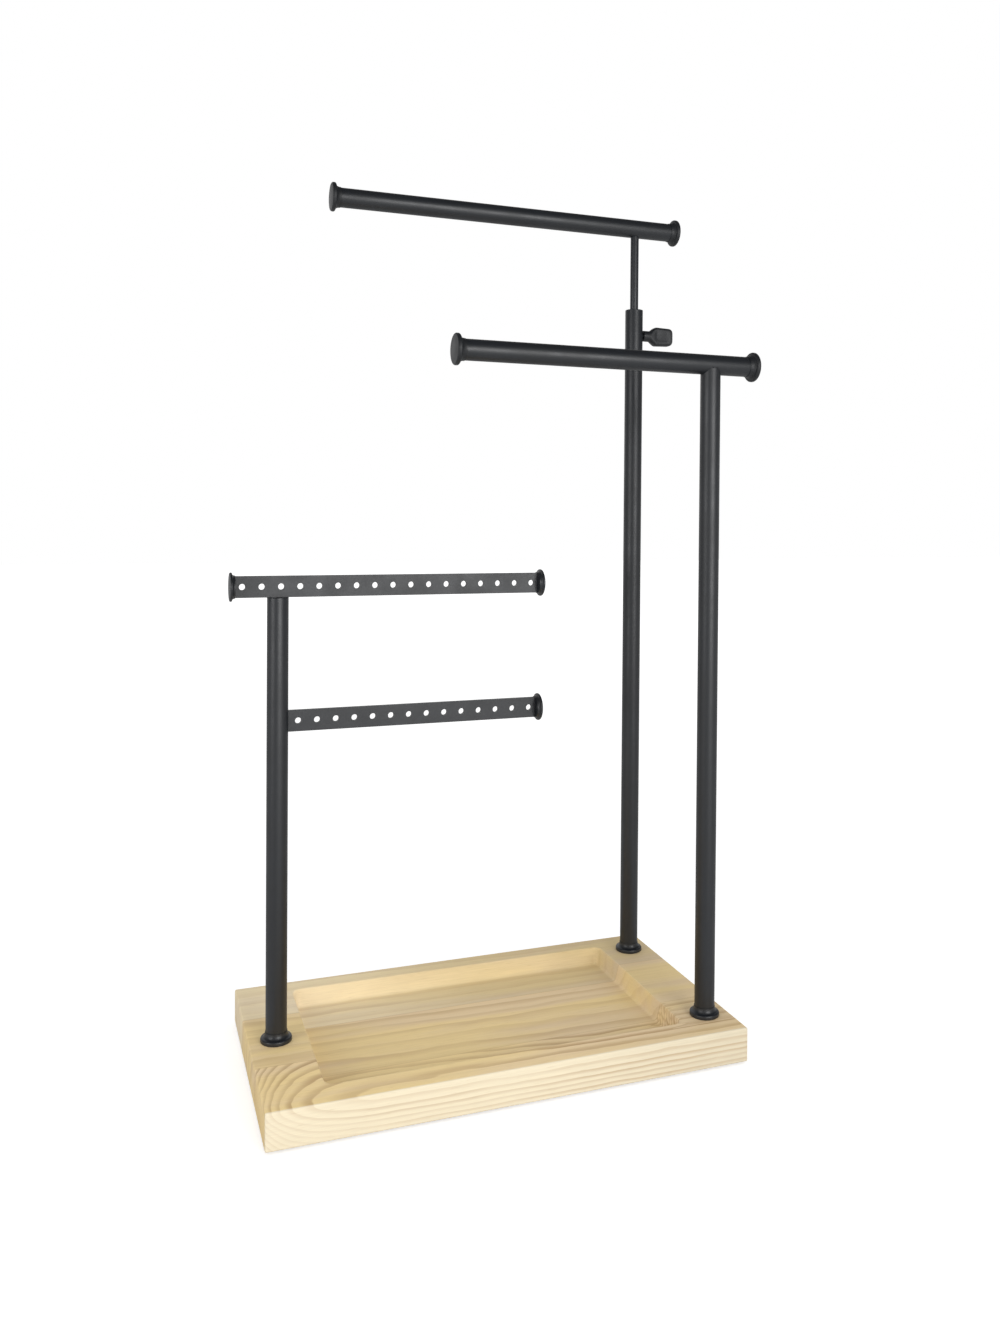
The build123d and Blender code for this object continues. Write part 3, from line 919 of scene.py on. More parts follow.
# Fineness of the earring bars' holes and edges, and the slack when their holes are counted
HOLE_SEGMENTS = 40
STRIP_EDGE_STEPS = 3
STRIP_EDGE_ANGLE = math.radians(60)
ROW_SLACK = 0.2 * MM


def hole_rings(graph, entry):
    """A row of circles along X, counted back from the right end of a centred strip."""
    half = graph.math("MULTIPLY", entry["Length"], 0.5)
    row = graph.math("MULTIPLY", graph.math("SUBTRACT", entry["Count"], 1.0), entry["Pitch"])
    start = graph.math("SUBTRACT", graph.math("SUBTRACT", half, entry["Margin"]), row)
    first = graph.add("ShaderNodeCombineXYZ", {"X": start})
    step = graph.add("ShaderNodeCombineXYZ", {"X": entry["Pitch"]})
    feeds = {"Count": entry["Count"], "Start Location": first, "Offset": step}
    points = graph.add("GeometryNodeMeshLine", feeds)
    feeds = {"Resolution": HOLE_SEGMENTS, "Radius": graph.math("MULTIPLY", entry["Hole"], 0.5)}
    circle = graph.add("GeometryNodeCurvePrimitiveCircle", feeds)
    rings = graph.add("GeometryNodeInstanceOnPoints", {"Points": points, "Instance": circle})
    return graph.add("GeometryNodeRealizeInstances", {0: rings})


def thickened(graph, entry, outline):
    """A flat plate inside curves, with its thickness to either side of them."""
    plate = graph.add("GeometryNodeFillCurve", {0: outline}, mode="NGONS")
    drop = graph.add("ShaderNodeCombineXYZ", {"Z": graph.math("MULTIPLY", entry["Thickness"], -0.5)})
    plate = graph.add("GeometryNodeTransform", {"Geometry": plate, "Translation": drop})
    feeds = {"Mesh": plate, "Offset Scale": entry["Thickness"], "Individual": False}
    raised = graph.add("GeometryNodeExtrudeMesh", feeds)
    under = graph.add("GeometryNodeFlipFaces", {0: plate})
    feeds = {"Geometry": joined(graph, under, raised), "Distance": MERGE_DISTANCE}
    return graph.add("GeometryNodeMergeByDistance", feeds)


def perforated_strip_tree():
    """A flat strip along X, upright in Z, with a row of round holes counted back from its right end."""
    name = "perforated_strip"
    if name in bpy.data.node_groups:
        return bpy.data.node_groups[name]
    lengths = ("Length", "Height", "Thickness", "Hole", "Pitch", "Margin")
    inputs = [("Geometry", "NodeSocketGeometry"), ("Centre", "NodeSocketVector")]
    inputs += [(label, "NodeSocketFloat") for label in lengths]
    inputs += [("Count", "NodeSocketInt"), ("Material", "NodeSocketMaterial")]
    graph, entry, leave = new_group(name, "GeometryNodeTree", inputs, [("Geometry", "NodeSocketGeometry")])
    feeds = {"Width": entry["Length"], "Height": entry["Height"]}
    outline = graph.add("GeometryNodeCurvePrimitiveQuadrilateral", feeds, mode="RECTANGLE")
    plate = thickened(graph, entry, joined(graph, hole_rings(graph, entry), outline))
    feeds = {"Geometry": plate, "Translation": entry["Centre"], "Rotation": (QUARTER_TURN, 0, 0)}
    upright = graph.add("GeometryNodeTransform", feeds)
    return end_tree(graph, upright, entry["Material"], leave)


def perforated_strip(name, node, free_start, sizes, material):
    """An earring bar with rounded edges and a row of rounded holes over its free length."""
    low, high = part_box(node)
    row = high.x - free_start - 2 * sizes.earring_margin
    values = {
        "Centre": (low + high) / 2,
        "Length": high.x - low.x,
        "Height": high.z - low.z,
        "Thickness": high.y - low.y,
        "Hole": sizes.earring_hole,
        "Pitch": sizes.earring_pitch,
        "Margin": sizes.earring_margin,
        "Count": int((row + ROW_SLACK) / sizes.earring_pitch) + 1,
        "Material": material,
    }
    piece = link_object(name, bpy.data.meshes.new(name))
    add_tree(piece, perforated_strip_tree(), values)
    bevel = piece.modifiers.new("edge_round", "BEVEL")
    bevel.width = sizes.strip_edge_round
    bevel.segments = STRIP_EDGE_STEPS
    bevel.limit_method = "ANGLE"
    bevel.angle_limit = STRIP_EDGE_ANGLE
    bake_modifiers(piece)
    settle_mesh(piece.data)
    piece.data.set_sharp_from_angle(angle=FLAT_ANGLE)
    return piece


# Tray and foot pads

# How far loops run in over the flat faces, and the least corner radius of a loop
TRAY_FACE_INSET = 4 * MM
TRAY_LEAST_CORNER = 0.05 * MM
RECESS_LEAST_CORNER = MM
PAD_LEAST_CORNER = 0.2 * MM


def tray_loops(sizes):
    """Loops from the tray's underside, round its edges and down into the recess."""
    centre = (tray_low + tray_high) / 2
    half_x, half_y = radius_of("tray"), (tray_high.y - tray_low.y) / 2
    edge = sizes.tray_edge_round
    outside = [
        (TRAY_FACE_INSET, tray_low.z, 0),
        (0, tray_low.z, edge),
        (0, tray_top, edge),
        (TRAY_FACE_INSET, tray_top, 0),
    ]
    floor = tray_top - sizes.recess_depth
    slope = sizes.recess_depth * math.tan(sizes.recess_slope)
    recess = [
        (-2 * sizes.recess_lip_round, tray_top, 0),
        (0, tray_top, sizes.recess_lip_round),
        (slope, floor, sizes.recess_cove),
        (slope + 2 * sizes.recess_cove, floor, 0),
    ]
    mouth_x = half_x - sizes.recess_end_rim
    mouth_y = half_y - (sizes.recess_front_rim + sizes.recess_rear_rim) / 2
    mouth = centre + Vector((0, (sizes.recess_front_rim - sizes.recess_rear_rim) / 2, 0))
    loops = rectangle_loops(outside, half_x, half_y, edge, TRAY_LEAST_CORNER, centre)
    loops += rectangle_loops(recess, mouth_x, mouth_y, sizes.recess_corner, RECESS_LEAST_CORNER, mouth)
    return loops


def screw_pocket_cutter(foot, sizes):
    """A helper that cuts a screw's hole and its pocket from under the tray."""
    start = Vector((foot.x, foot.y, tray_low.z - OVERRUN))
    pocket = sizes.counterbore_depth + OVERRUN
    through = tray_top - tray_low.z + 2 * OVERRUN
    wide, narrow = sizes.counterbore / 2, sizes.screw_hole / 2
    corners = [(0, 0, 0), (wide, 0, 0), (wide, pocket, 0), (narrow, pocket, 0)]
    corners += [(narrow, through, 0), (0, through, 0)]
    return turned_piece("cutter", corners, start)


class STAND_OT_tray(bpy.types.Operator):
    """Build the wooden tray with its routed recess and the screw pockets under it"""

    bl_idname = "jewelry_stand.tray"
    bl_label = "Tray"

    def execute(self, context):
        sizes = context.scene.stand_sizes
        board = new_piece("tray_board", *loft(tray_loops(sizes)))
        combine(board, "DIFFERENCE", *[screw_pocket_cutter(foot, sizes) for foot in post_feet])
        dress(board, pine_boards(), "pine", "stand", "tray")
        return {"FINISHED"}


class STAND_OT_foot_pads(bpy.types.Operator):
    """Build the rubber pads under the tray's corners"""

    bl_idname = "jewelry_stand.foot_pads"
    bl_label = "Foot pads"

    def execute(self, context):
        sizes = context.scene.stand_sizes
        boxes = [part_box(node) for node in PAD_NODES]
        low, high = boxes[0]
        half, thickness = radius_of(PAD_NODES[0]), high.z - low.z
        edge = sizes.pad_edge_round
        section = [(half / 2, 0, 0), (0, 0, edge), (0, thickness, edge), (half / 2, thickness, 0)]
        loops = rectangle_loops(section, half, half, sizes.pad_corner, PAD_LEAST_CORNER, Vector())
        template = new_piece("pad_template", *loft(loops))
        places = [((corner.x + half, corner.y + half, corner.z), UPRIGHT) for corner, _ in boxes]
        pads = placed_copies("foot_pad_set", template, places, pad_rubber())
        dress(pads, pad_rubber(), "pad_rubber", "stand", *PAD_NODES)
        return {"FINISHED"}


# Posts and their collars

# Rounding of the collars' lower edge, as a share of their rim's
COLLAR_FOOT_SHARE = 0.4


def post_tube(node, sizes):
    """A post's tube with the threaded plug welded into its foot."""
    low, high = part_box(node)
    stop, edge = high.z - low.z, sizes.tube_edge_round
    bore, screw = tube_radius - sizes.tube_wall, sizes.screw_diameter / 2
    corners = [(screw, 0, 0), (tube_radius, 0, edge), (tube_radius, stop, edge), (bore, stop, edge)]
    corners += [(bore, sizes.plug_length, 0), (screw, sizes.plug_length, 0)]
    return turned_piece(node + "_tube", corners, axis_of(node, low.z))


def strip_slot_cutter(sizes):
    """A helper that cuts the slot for the lower earring bar into the left post's side."""
    low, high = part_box("lower_earring_bar")
    gap = Vector((0, sizes.running_gap, sizes.running_gap))
    slot_end = Vector((low.x + tube_radius, high.y, high.z))
    return block_cutter(low - gap, slot_end + gap)


def saddle_cutter(sizes):
    """A helper that cuts the front post's saddle for the middle necklace bar."""
    bar = middle_of("middle_necklace_bar")
    start = Vector((middle_of("front_post").x - 2 * tube_radius, bar.y, bar.z))
    return rod_cutter(tube_radius + sizes.fit_gap, start, RIGHTWARD, 4 * tube_radius)


class STAND_OT_posts(bpy.types.Operator):
    """Build the three posts and the plug in the left one"""

    bl_idname = "jewelry_stand.posts"
    bl_label = "Posts"

    def execute(self, context):
        sizes = context.scene.stand_sizes
        cutters = {
            "left_post": strip_slot_cutter(sizes),
            "front_post": saddle_cutter(sizes),
            "rear_post": stud_hole_cutter("rear_post", sizes),
        }
        for node in POST_NODES:
            post = post_tube(node, sizes)
            combine(post, "DIFFERENCE", cutters[node])
            dress(post, powder_coat(), "black_metal", "stand", node)
        plug = turned_pin("left_post_plug_disc", "left_post_plug", sizes.plug_edge_round)
        dress(plug, powder_coat(), "black_metal", "stand", "left_post_plug")
        return {"FINISHED"}


class STAND_OT_collars(bpy.types.Operator):
    """Build the flared collars at the feet of the posts"""

    bl_idname = "jewelry_stand.collars"
    bl_label = "Post collars"

    def execute(self, context):
        sizes = context.scene.stand_sizes
        bore = tube_radius + sizes.fit_gap
        corners = [(bore, 0, 0), (flange_radius, 0, COLLAR_FOOT_SHARE * sizes.flange_rim_round)]
        corners += flange_flare(sizes) + [(bore, sizes.flare_height, 0)]
        template = turned_piece("collar_template", corners)
        places = [(foot, UPRIGHT) for foot in post_feet]
        collars = placed_copies("post_collar_set", template, places, powder_coat())
        dress(collars, powder_coat(), "black_metal", "stand", "post_collars")
        return {"FINISHED"}


# Base screws

# Thread form: how steep its flanks are, how much of its root is flat, and its drop at the lead-ins
FLANK_STEEPNESS = 1.5
ROOT_FLAT = 0.2
LEAD_IN_DROP = 0.4

# Flat share of a screw head's face, taper of its cross recess, and the turn from one screw to the next
CROWN_SHARE = 0.6
CROSS_TAPER = 0.5
SCREW_TURN = 0.4


def threaded_rod(radius, depth, pitch, reach, lead_in, segments=36, rows_per_turn=8):
    """Vertices and faces of a threaded rod along local Z with a lead-in at each end."""
    loops = []
    rows = int(reach / pitch * rows_per_turn)
    for row in range(rows + 1):
        height = reach * row / rows
        ease = min(height, reach - height, lead_in) / lead_in
        loop = []
        for step in range(segments):
            turn = step / segments
            phase = (height / pitch - turn) % 1
            crest = 1 - abs(2 * phase - 1)
            crest = min(1, max(0, FLANK_STEEPNESS * crest - ROOT_FLAT))
            local = radius - depth * (1 - crest * ease) - LEAD_IN_DROP * depth * (1 - ease)
            angle = FULL_TURN * turn
            loop.append((local * math.cos(angle), local * math.sin(angle), height))
        loops.append(loop)
    return loft(loops)


def screw_head(face, seat, sizes):
    """A domed screw head between the heights of its face and its seat."""
    radius = sizes.screw_head / 2
    corners = [
        (0, face, 0),
        (CROWN_SHARE * radius, face, sizes.screw_crown_round),
        (radius, seat - sizes.screw_rim, sizes.screw_rim_round),
        (radius, seat, 0),
        (0, seat, 0),
    ]
    return turned_piece("screw_template", corners)


def cross_cutter(face, sizes):
    """A helper that cuts a tapered cross recess into a screw head's face."""
    arm, half = sizes.cross_arm, sizes.cross_width / 2
    half_cross = [(arm, -half), (arm, half), (half, half), (half, arm), (-half, arm), (-half, half)]
    cross = half_cross + [(-x, -y) for x, y in half_cross]
    mouth = [(x, y, face - OVERRUN) for x, y in cross]
    bottom = [(CROSS_TAPER * x, CROSS_TAPER * y, face + sizes.cross_depth) for x, y in cross]
    return new_piece("cutter", *loft([mouth, bottom]))


class STAND_OT_base_screws(bpy.types.Operator):
    """Build the screws that hold the posts from under the tray"""

    bl_idname = "jewelry_stand.base_screws"
    bl_label = "Base screws"

    def execute(self, context):
        sizes = context.scene.stand_sizes
        low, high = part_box("base_screws")
        seat = low.z + sizes.screw_head_height
        screw = screw_head(low.z, seat, sizes)
        combine(screw, "DIFFERENCE", cross_cutter(low.z, sizes))
        verts, faces = threaded_rod(
            sizes.screw_diameter / 2,
            sizes.screw_thread,
            sizes.screw_pitch,
            high.z - seat,
            sizes.screw_lead_in,
            segments=28,
            rows_per_turn=6,
        )
        combine(screw, "UNION", new_piece("thread_template", verts, faces, (0, 0, seat)))
        places = [((foot.x, foot.y, 0), (0, 0, SCREW_TURN * index)) for index, foot in enumerate(post_feet)]
        screws = placed_copies("base_screw_set", screw, places, zinc_plate())
        dress(screws, zinc_plate(), "zinc_steel", "stand", "base_screws")
        return {"FINISHED"}


# Earring and necklace bars


def disc_template(radius, sizes):
    """An end disc with a flare to a hub that covers the corners of a strip."""
    low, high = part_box("upper_earring_bar")
    hub = math.hypot(high.z - low.z, high.y - low.y) / 2 + sizes.disc_hub
    rounding = sizes.disc_rim_round
    corners = [(0, 0, 0), (radius, 0, rounding)]
    corners += flare_curve(radius, rounding, sizes.disc_thickness, hub, sizes.disc_flare)
    corners += [(0, sizes.disc_flare, 0)]
    return turned_piece("disc_template", corners)


class STAND_OT_earring_bars(bpy.types.Operator):
    """Build the two perforated earring bars and their end discs"""

    bl_idname = "jewelry_stand.earring_bars"
    bl_label = "Earring bars"

    def execute(self, context):
        sizes = context.scene.stand_sizes
        upper_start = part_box("upper_earring_bar")[0].x
        lower_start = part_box("left_post")[1].x
        for node, free_start in (("upper_earring_bar", upper_start), ("lower_earring_bar", lower_start)):
            strip = perforated_strip(node + "_strip", node, free_start, sizes, powder_coat())
            dress(strip, powder_coat(), "black_metal", "stand", node)
        low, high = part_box("earring_bar_discs")
        upper, lower = middle_of("upper_earring_bar"), middle_of("lower_earring_bar")
        lower_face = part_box("lower_earring_bar")[1].x + sizes.disc_thickness
        places = [
            ((low.x, upper.y, upper.z), LAID_RIGHT),
            ((high.x, upper.y, upper.z), LAID_LEFT),
            ((lower_face, lower.y, lower.z), LAID_LEFT),
        ]
        template = disc_template((high.y - low.y) / 2, sizes)
        discs = placed_copies("earring_disc_set", template, places, powder_coat())
        dress(discs, powder_coat(), "black_metal", "stand", "earring_bar_discs")
        return {"FINISHED"}


def necklace_tube(name, node, sizes):
    """A necklace bar's tube along X."""
    low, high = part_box(node)
    centre = (low + high) / 2
    corners = tube_corners(tube_radius, sizes.tube_wall, high.x - low.x, sizes.tube_edge_round)
    return turned_piece(name, corners, (low.x, centre.y, centre.z), RIGHTWARD)


def rod_hole_cutter(sizes):
    """A helper that cuts the sliding rod's hole into the underside of the top bar."""
    rod = middle_of("riser_rod")
    start = Vector((rod.x, rod.y, middle_of("top_necklace_bar").z - 2 * tube_radius))
    return rod_cutter(radius_of("riser_rod") + sizes.running_gap, start, UP, 2 * tube_radius)


def cap_pair(name, bar, node, sizes):
    """The flared caps at the two ends of a necklace bar."""
    socket = tube_radius + sizes.fit_gap
    corners = [(0, 0, 0), (flange_radius, 0, sizes.flange_rim_round)] + flange_flare(sizes)
    corners += [(socket, sizes.flare_height, 0), (socket, sizes.flange_thickness, 0)]
    corners += [(0, sizes.flange_thickness, 0)]
    template = turned_piece("cap_template", corners)
    low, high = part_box(node)
    centre = middle_of(bar)
    places = [((low.x, centre.y, centre.z), LAID_RIGHT), ((high.x, centre.y, centre.z), LAID_LEFT)]
    return placed_copies(name, template, places, moulded_plastic())


class STAND_OT_necklace_bars(bpy.types.Operator):
    """Build the fixed and the adjustable necklace bar with their flared caps"""

    bl_idname = "jewelry_stand.necklace_bars"
    bl_label = "Necklace bars"

    def execute(self, context):
        sizes = context.scene.stand_sizes
        for name, body in (("middle", "stand"), ("top", "swivel_bar")):
            bar, cap_node = name + "_necklace_bar", name + "_bar_caps"
            tube = necklace_tube(name + "_bar_tube", bar, sizes)
            if name == "top":
                combine(tube, "DIFFERENCE", rod_hole_cutter(sizes))
            dress(tube, powder_coat(), "black_metal", body, bar)
            caps = cap_pair(name + "_bar_cap_pair", bar, cap_node, sizes)
            dress(caps, moulded_plastic(), "black_plastic", body, cap_node)
        return {"FINISHED"}


# Height clamp


class STAND_OT_riser(bpy.types.Operator):
    """Build the sliding rod and the guide bush in the rear post's mouth"""

    bl_idname = "jewelry_stand.riser"
    bl_label = "Riser"

    def execute(self, context):
        sizes = context.scene.stand_sizes
        rod = turned_pin("riser_rod_pin", "riser_rod", sizes.rod_edge_round)
        dress(rod, powder_coat(), "black_metal", "riser", "riser_rod")
        low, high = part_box("rod_guide")
        outer = radius_of("rod_guide")
        wall = outer - radius_of("riser_rod") - sizes.running_gap
        corners = tube_corners(outer, wall, high.z - low.z, sizes.guide_edge_round)
        guide = turned_piece("rod_guide_bush", corners, axis_of("rod_guide", low.z))
        combine(guide, "DIFFERENCE", stud_hole_cutter("rod_guide", sizes))
        dress(guide, powder_coat(), "black_metal", "stand", "rod_guide")
        return {"FINISHED"}


# Sections along the knob: close ones at the neck's end, even ones, and ones that crowd to the outer end
KNOB_SEGMENTS = 96
NECK_STATIONS = 3
NECK_STEP = 0.02 * MM
EVEN_STEPS = 72
FIRST_EVEN_STEP = 2
LAST_EVEN_STEP = 65
END_STEPS = 12

# Powers of the knob's sections, round at the neck and squarer on the spade
ROUND_POWER = 2
SQUARE_POWER = 5

# Where the spade starts before its root, and the margins and slopes of its finger dishes
SPADE_TAPER_LEAD = 0.4 * MM
SPADE_FLAT_LEAD = MM
DISH_ROOT_MARGIN = 1.6 * MM
DISH_END_MARGIN = 1.8 * MM
DISH_END_SLOPE = 2.6 * MM
DISH_SIDE_MARGIN = 1.2 * MM
DISH_SIDE_SLOPE = 2.8 * MM


def smooth_step(value):
    """Ease from 0 to 1."""
    value = min(1, max(0, value))
    return value * value * (3 - 2 * value)


def rounded_part(part, power):
    """A part of a point on a circle, moved out towards a square."""
    return math.copysign(abs(part) ** (2 / power), part)


def height_at(outline, place):
    """Height of an outline of (place, height) points at a place along it."""
    for (first, low), (second, high) in zip(outline, outline[1:]):
        if first <= place <= second and second > first:
            return low + (high - low) * (place - first) / (second - first)
    return outline[-1][1]


def spade_outline(sizes, total):
    """Half of the knob's outline, from its neck to its outer end."""
    neck, root = sizes.neck_diameter / 2, sizes.neck_length
    corners = [
        (0, neck, 0),
        (root - SPADE_TAPER_LEAD, neck, sizes.neck_fillet),
        (root + sizes.spade_shoulder, sizes.spade_width / 2, sizes.spade_corner),
        (total, sizes.spade_end / 2, sizes.spade_corner),
        (total, 0, 0),
    ]
    return round_corners(corners, closed=False)


def knob_stations(total):
    """Distances along the knob at which it has a section."""
    stations = [NECK_STEP * step for step in range(1, NECK_STATIONS + 1)]
    stations += [total * step / EVEN_STEPS for step in range(FIRST_EVEN_STEP, LAST_EVEN_STEP + 1)]
    last = stations[-1]
    shares = [math.sin(QUARTER_TURN * step / END_STEPS) for step in range(1, END_STEPS)]
    return stations + [last + (total - last) * share for share in shares]


def knob_sections(sizes, total):
    """(distance, half width, half thickness, power, dish share) of sections along the knob."""
    neck, root, rounding = sizes.neck_diameter / 2, sizes.neck_length, sizes.spade_round
    outline = spade_outline(sizes, total)
    sections = [(0, neck - sizes.neck_bevel, neck - sizes.neck_bevel, ROUND_POWER, 0)]
    for place in knob_stations(total):
        flat = smooth_step((place - root + SPADE_FLAT_LEAD) / (sizes.spade_shoulder + SPADE_FLAT_LEAD))
        half_thickness = neck + (sizes.spade_thickness / 2 - neck) * flat
        past_round = place - (total - rounding)
        if past_round > 0:
            half_thickness -= rounding - math.sqrt(max(0, rounding**2 - past_round**2))
        power = ROUND_POWER + (SQUARE_POWER - ROUND_POWER) * flat
        margin = min(place - root - DISH_ROOT_MARGIN, total - DISH_END_MARGIN - place)
        dish = smooth_step(margin / DISH_END_SLOPE)
        sections.append((place, height_at(outline, place), half_thickness, power, dish))
    return sections


def knob_loops(sizes):
    """Loops round the knob, from its neck to its outer end, with a dish in each side of the spade."""
    low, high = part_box("thumbscrew_knob")
    centre = middle_of("thumbscrew_stud")
    loops = []
    for place, half_width, half_thickness, power, dish in knob_sections(sizes, high.x - low.x):
        loop = []
        for step in range(KNOB_SEGMENTS):
            angle = FULL_TURN * step / KNOB_SEGMENTS
            z = half_width * rounded_part(math.cos(angle), power)
            y = half_thickness * rounded_part(math.sin(angle), power)
            inside = smooth_step((half_width - DISH_SIDE_MARGIN - abs(z)) / DISH_SIDE_SLOPE)
            y -= math.copysign(min(sizes.spade_dish * dish * inside, abs(y)), y)
            loop.append((low.x + place, centre.y + y, centre.z + z))
        loops.append(loop)
    return loops


class STAND_OT_thumbscrew(bpy.types.Operator):
    """Build the thumbscrew's threaded stud and its spade-shaped knob"""

    bl_idname = "jewelry_stand.thumbscrew"
    bl_label = "Thumbscrew"

    def execute(self, context):
        sizes = context.scene.stand_sizes
        low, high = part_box("thumbscrew_stud")
        centre = (low + high) / 2
        radius = sizes.stud_diameter / 2
        verts, faces = threaded_rod(
            radius, sizes.stud_thread, sizes.stud_pitch, high.x - low.x, sizes.stud_lead_in
        )
        stud = new_piece("thumbscrew_stud_thread", verts, faces, (low.x, centre.y, centre.z), RIGHTWARD)
        dress(stud, powder_coat(), "black_metal", "clamp_stud", "thumbscrew_stud")
        knob = new_piece("thumbscrew_knob_spade", *loft(knob_loops(sizes)))
        start = Vector((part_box("thumbscrew_knob")[0].x - OVERRUN, centre.y, centre.z))
        reach = high.x + sizes.running_gap - start.x
        combine(knob, "DIFFERENCE", rod_cutter(radius + sizes.running_gap, start, RIGHTWARD, reach))
        dress(knob, moulded_plastic(), "black_plastic", "clamp_knob", "thumbscrew_knob")
        return {"FINISHED"}


# Stage

# Camera of the view, in pixels, radians and metres
IMAGE_WIDTH = 1000
IMAGE_HEIGHT = 1333
FOCAL_PIXELS = 1109.56
CENTRE_PIXELS = (538.69, 532.08)
CAMERA_YAW = 0.36073
CAMERA_PITCH = 0.01483
CAMERA_ROLL = -0.00747
CAMERA_PLACE = Vector((-0.18834, -0.57585, 0.28912))
SENSOR = 36.0

# Soft lights: place, target height, size across and up, power
LIGHTS = {
    "front_softbox": ((0.4, -1.75, 0.52), 0.25, (0.92, 0.68), 17.5),
    "left_softbox": ((-1.5, -0.75, 0.5), 0.25, (0.7, 0.68), 7.5),
}

# Floor and world, with ramps of the floor's glow over distance and of what gloss sees over height and depth
FLOOR_HALF = 6.0
FLOOR_DROP = 0.2 * MM
FLOOR_ROUGHNESS = 0.9
FLOOR_SPECULAR = 0.1
FLOOR_GLOW = (0.25, 2.0, 0.58, 0.74)
FLOOR_GLOSS_SHARE = 0.15
WORLD_LIGHT = 0.7
WORLD_REFLECTED = (-0.05, 0.22, 1.0, 0.08)
BACKDROP_REFLECTED = (0.45, 0.9, 0.0, 1.0)


def background_rays(graph):
    """Masks of the rays that see the background in gloss or through glass, and of the camera's own."""
    path = graph.add("ShaderNodeLightPath").node.outputs
    gloss = graph.math("MAXIMUM", path["Is Glossy Ray"], path["Is Transmission Ray"])
    return gloss, path["Is Camera Ray"]


def floor_material(tone):
    """Pale floor that keeps the stand's shadow and is lifted towards white where it is seen."""
    material, graph, shader = new_material("pale_floor")
    shader["Base Color"].default_value = tone
    shader["Roughness"].default_value = FLOOR_ROUGHNESS
    shader["Specular IOR Level"].default_value = FLOOR_SPECULAR
    shader["Emission Color"].default_value = WHITE
    point = graph.add("ShaderNodeTexCoord", out="Object")
    distance = graph.add("ShaderNodeVectorMath", {0: point}, out="Value", operation="LENGTH")
    gloss, camera_ray = background_rays(graph)
    seen = graph.math("MAXIMUM", graph.math("MULTIPLY", gloss, FLOOR_GLOSS_SHARE), camera_ray)
    glow = graph.math("MULTIPLY", seen, graph.ramp(distance, *FLOOR_GLOW))
    graph.feed(shader["Emission Strength"], glow)
    return material


def lay_floor(scene):
    """Lay the floor just under the stand."""
    half = FLOOR_HALF
    mesh = bpy.data.meshes.new("floor")
    corners = [(-half, -half, 0), (half, -half, 0), (half, half, 0), (-half, half, 0)]
    mesh.from_pydata(corners, [], [(0, 1, 2, 3)])
    mesh.materials.append(floor_material(scene.stand_colours.floor))
    floor = link_object("floor", mesh)
    floor.location.z = cad_box[0].z - FLOOR_DROP


def light_world(scene):
    """Plain world, white to the camera, and to gloss white behind and low down and dim elsewhere."""
    world = bpy.data.worlds.new("studio")
    world.use_nodes = True
    world.node_tree.nodes.clear()
    graph = Graph(world.node_tree)
    aim = graph.add("ShaderNodeTexCoord", out="Generated")
    parts = graph.add("ShaderNodeSeparateXYZ", {0: aim}).node.outputs
    gloss, camera_ray = background_rays(graph)
    behind = graph.ramp(parts["Y"], *BACKDROP_REFLECTED)
    reflected = graph.math("MAXIMUM", graph.ramp(parts["Z"], *WORLD_REFLECTED), behind)
    strength = graph.mix_value(gloss, WORLD_LIGHT, reflected)
    strength = graph.math("MAXIMUM", strength, camera_ray)
    background = graph.add("ShaderNodeBackground", {"Color": WHITE, "Strength": strength})
    graph.add("ShaderNodeOutputWorld", {"Surface": background})
    scene.world = world


def hang_light(name, place, target_height, across, tall, power):
    """A softbox aimed at a height above the frame's origin."""
    lamp = bpy.data.lights.new(name, "AREA")
    lamp.shape = "RECTANGLE"
    lamp.size = across
    lamp.size_y = tall
    lamp.energy = power
    light = link_object(name, lamp)
    light.location = place
    aim = Vector((0, 0, target_height)) - Vector(place)
    light.rotation_euler = aim.to_track_quat("-Z", "Y").to_euler()
    light.visible_camera = False


def set_camera(scene):
    """Set the camera at the viewing angle, shifted by where its axis meets the image."""
    ahead = Vector((math.sin(CAMERA_YAW), math.cos(CAMERA_YAW), 0)) * math.cos(CAMERA_PITCH)
    ahead.z = -math.sin(CAMERA_PITCH)
    level = Vector((math.cos(CAMERA_YAW), -math.sin(CAMERA_YAW), 0))
    below = ahead.cross(level)
    across = level * math.cos(CAMERA_ROLL) + below * math.sin(CAMERA_ROLL)
    upward = level * math.sin(CAMERA_ROLL) - below * math.cos(CAMERA_ROLL)
    turn = Matrix((across, upward, -ahead)).transposed().to_4x4()
    lens = bpy.data.cameras.new("camera")
    lens.sensor_width = SENSOR
    lens.lens = FOCAL_PIXELS / IMAGE_HEIGHT * SENSOR
    lens.shift_x = (IMAGE_WIDTH / 2 - CENTRE_PIXELS[0]) / IMAGE_HEIGHT
    lens.shift_y = (CENTRE_PIXELS[1] - IMAGE_HEIGHT / 2) / IMAGE_HEIGHT
    camera = link_object("camera", lens)
    camera.matrix_world = Matrix.Translation(CAMERA_PLACE) @ turn
    scene.camera = camera


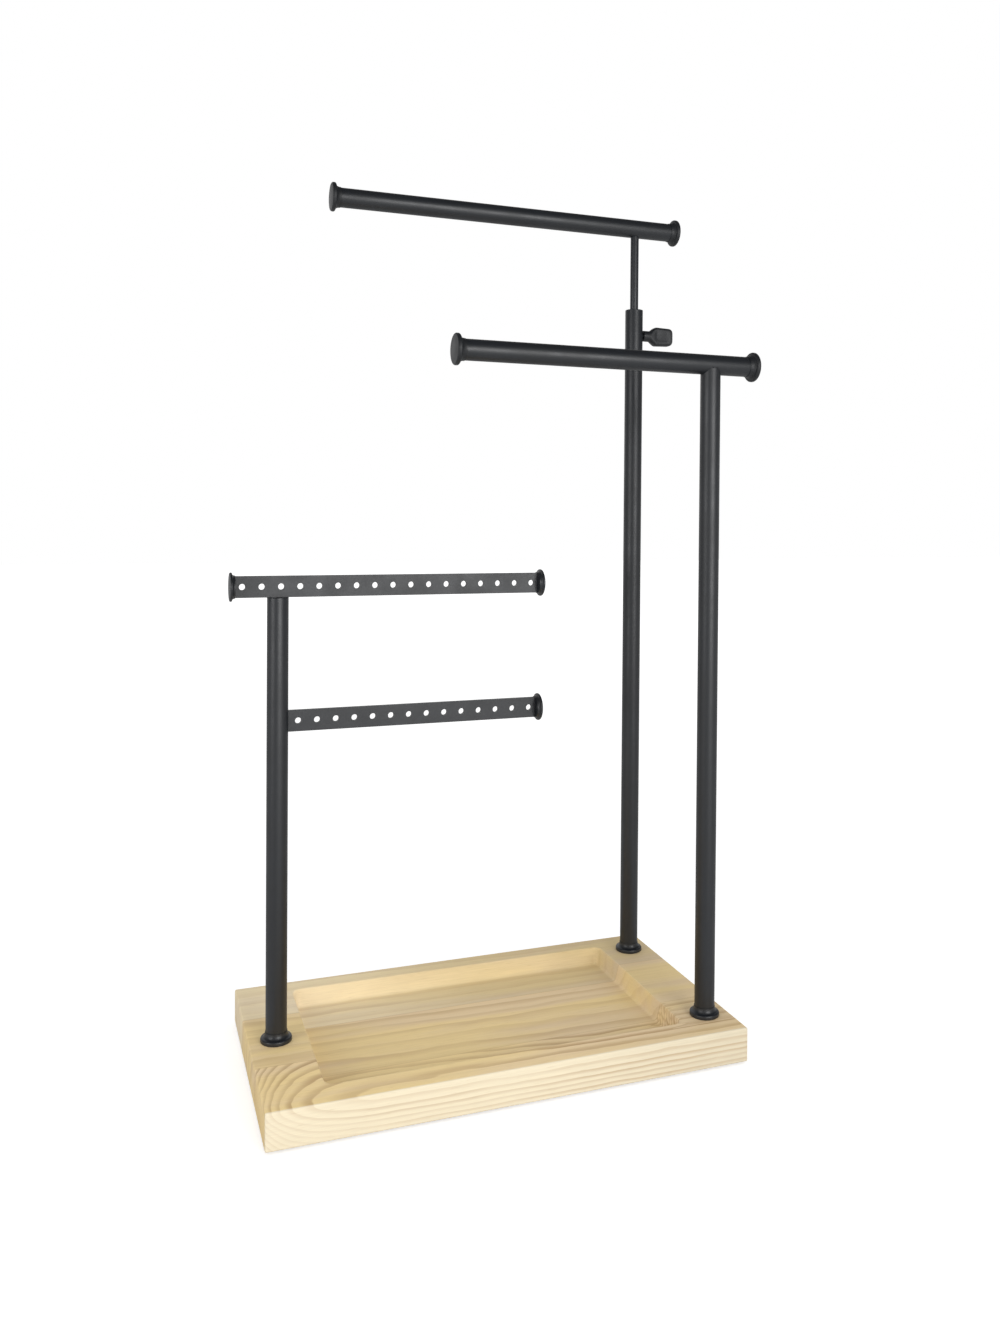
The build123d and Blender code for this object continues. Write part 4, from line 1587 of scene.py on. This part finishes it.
class STAND_OT_stage(bpy.types.Operator):
    """Set up the pale floor, the soft light and the camera"""

    bl_idname = "jewelry_stand.stage"
    bl_label = "Stage"

    def execute(self, context):
        scene = context.scene
        scene.view_settings.view_transform = "Standard"
        lay_floor(scene)
        light_world(scene)
        for name, (place, target_height, (across, tall), power) in LIGHTS.items():
            hang_light(name, place, target_height, across, tall, power)
        set_camera(scene)
        return {"FINISHED"}


class STAND_PT_panel(bpy.types.Panel):
    """Operators, sizes and colours of the stand"""

    bl_idname = "STAND_PT_panel"
    bl_label = "Jewelry Stand"
    bl_space_type = "VIEW_3D"
    bl_region_type = "UI"
    bl_category = "Jewelry Stand"

    def draw(self, context):
        for operator in OPERATORS:
            self.layout.operator(operator.bl_idname)
        for group in (context.scene.stand_sizes, context.scene.stand_colours):
            for name in group.__annotations__:
                self.layout.prop(group, name)


OPERATORS = (
    STAND_OT_tray,
    STAND_OT_foot_pads,
    STAND_OT_posts,
    STAND_OT_collars,
    STAND_OT_base_screws,
    STAND_OT_earring_bars,
    STAND_OT_necklace_bars,
    STAND_OT_riser,
    STAND_OT_thumbscrew,
    STAND_OT_stage,
)
CLASSES = (StandSizes, StandColours, *OPERATORS, STAND_PT_panel)


def register():
    for cls in CLASSES:
        bpy.utils.register_class(cls)
    bpy.types.Scene.stand_sizes = PointerProperty(type=StandSizes)
    bpy.types.Scene.stand_colours = PointerProperty(type=StandColours)


def unregister():
    del bpy.types.Scene.stand_colours
    del bpy.types.Scene.stand_sizes
    for cls in reversed(CLASSES):
        bpy.utils.unregister_class(cls)


def main():
    register()
    bpy.ops.jewelry_stand.tray()
    bpy.ops.jewelry_stand.foot_pads()
    bpy.ops.jewelry_stand.posts()
    bpy.ops.jewelry_stand.collars()
    bpy.ops.jewelry_stand.base_screws()
    bpy.ops.jewelry_stand.earring_bars()
    bpy.ops.jewelry_stand.necklace_bars()
    bpy.ops.jewelry_stand.riser()
    bpy.ops.jewelry_stand.thumbscrew()
    bpy.ops.jewelry_stand.stage()


if __name__ == "__main__":
    main()
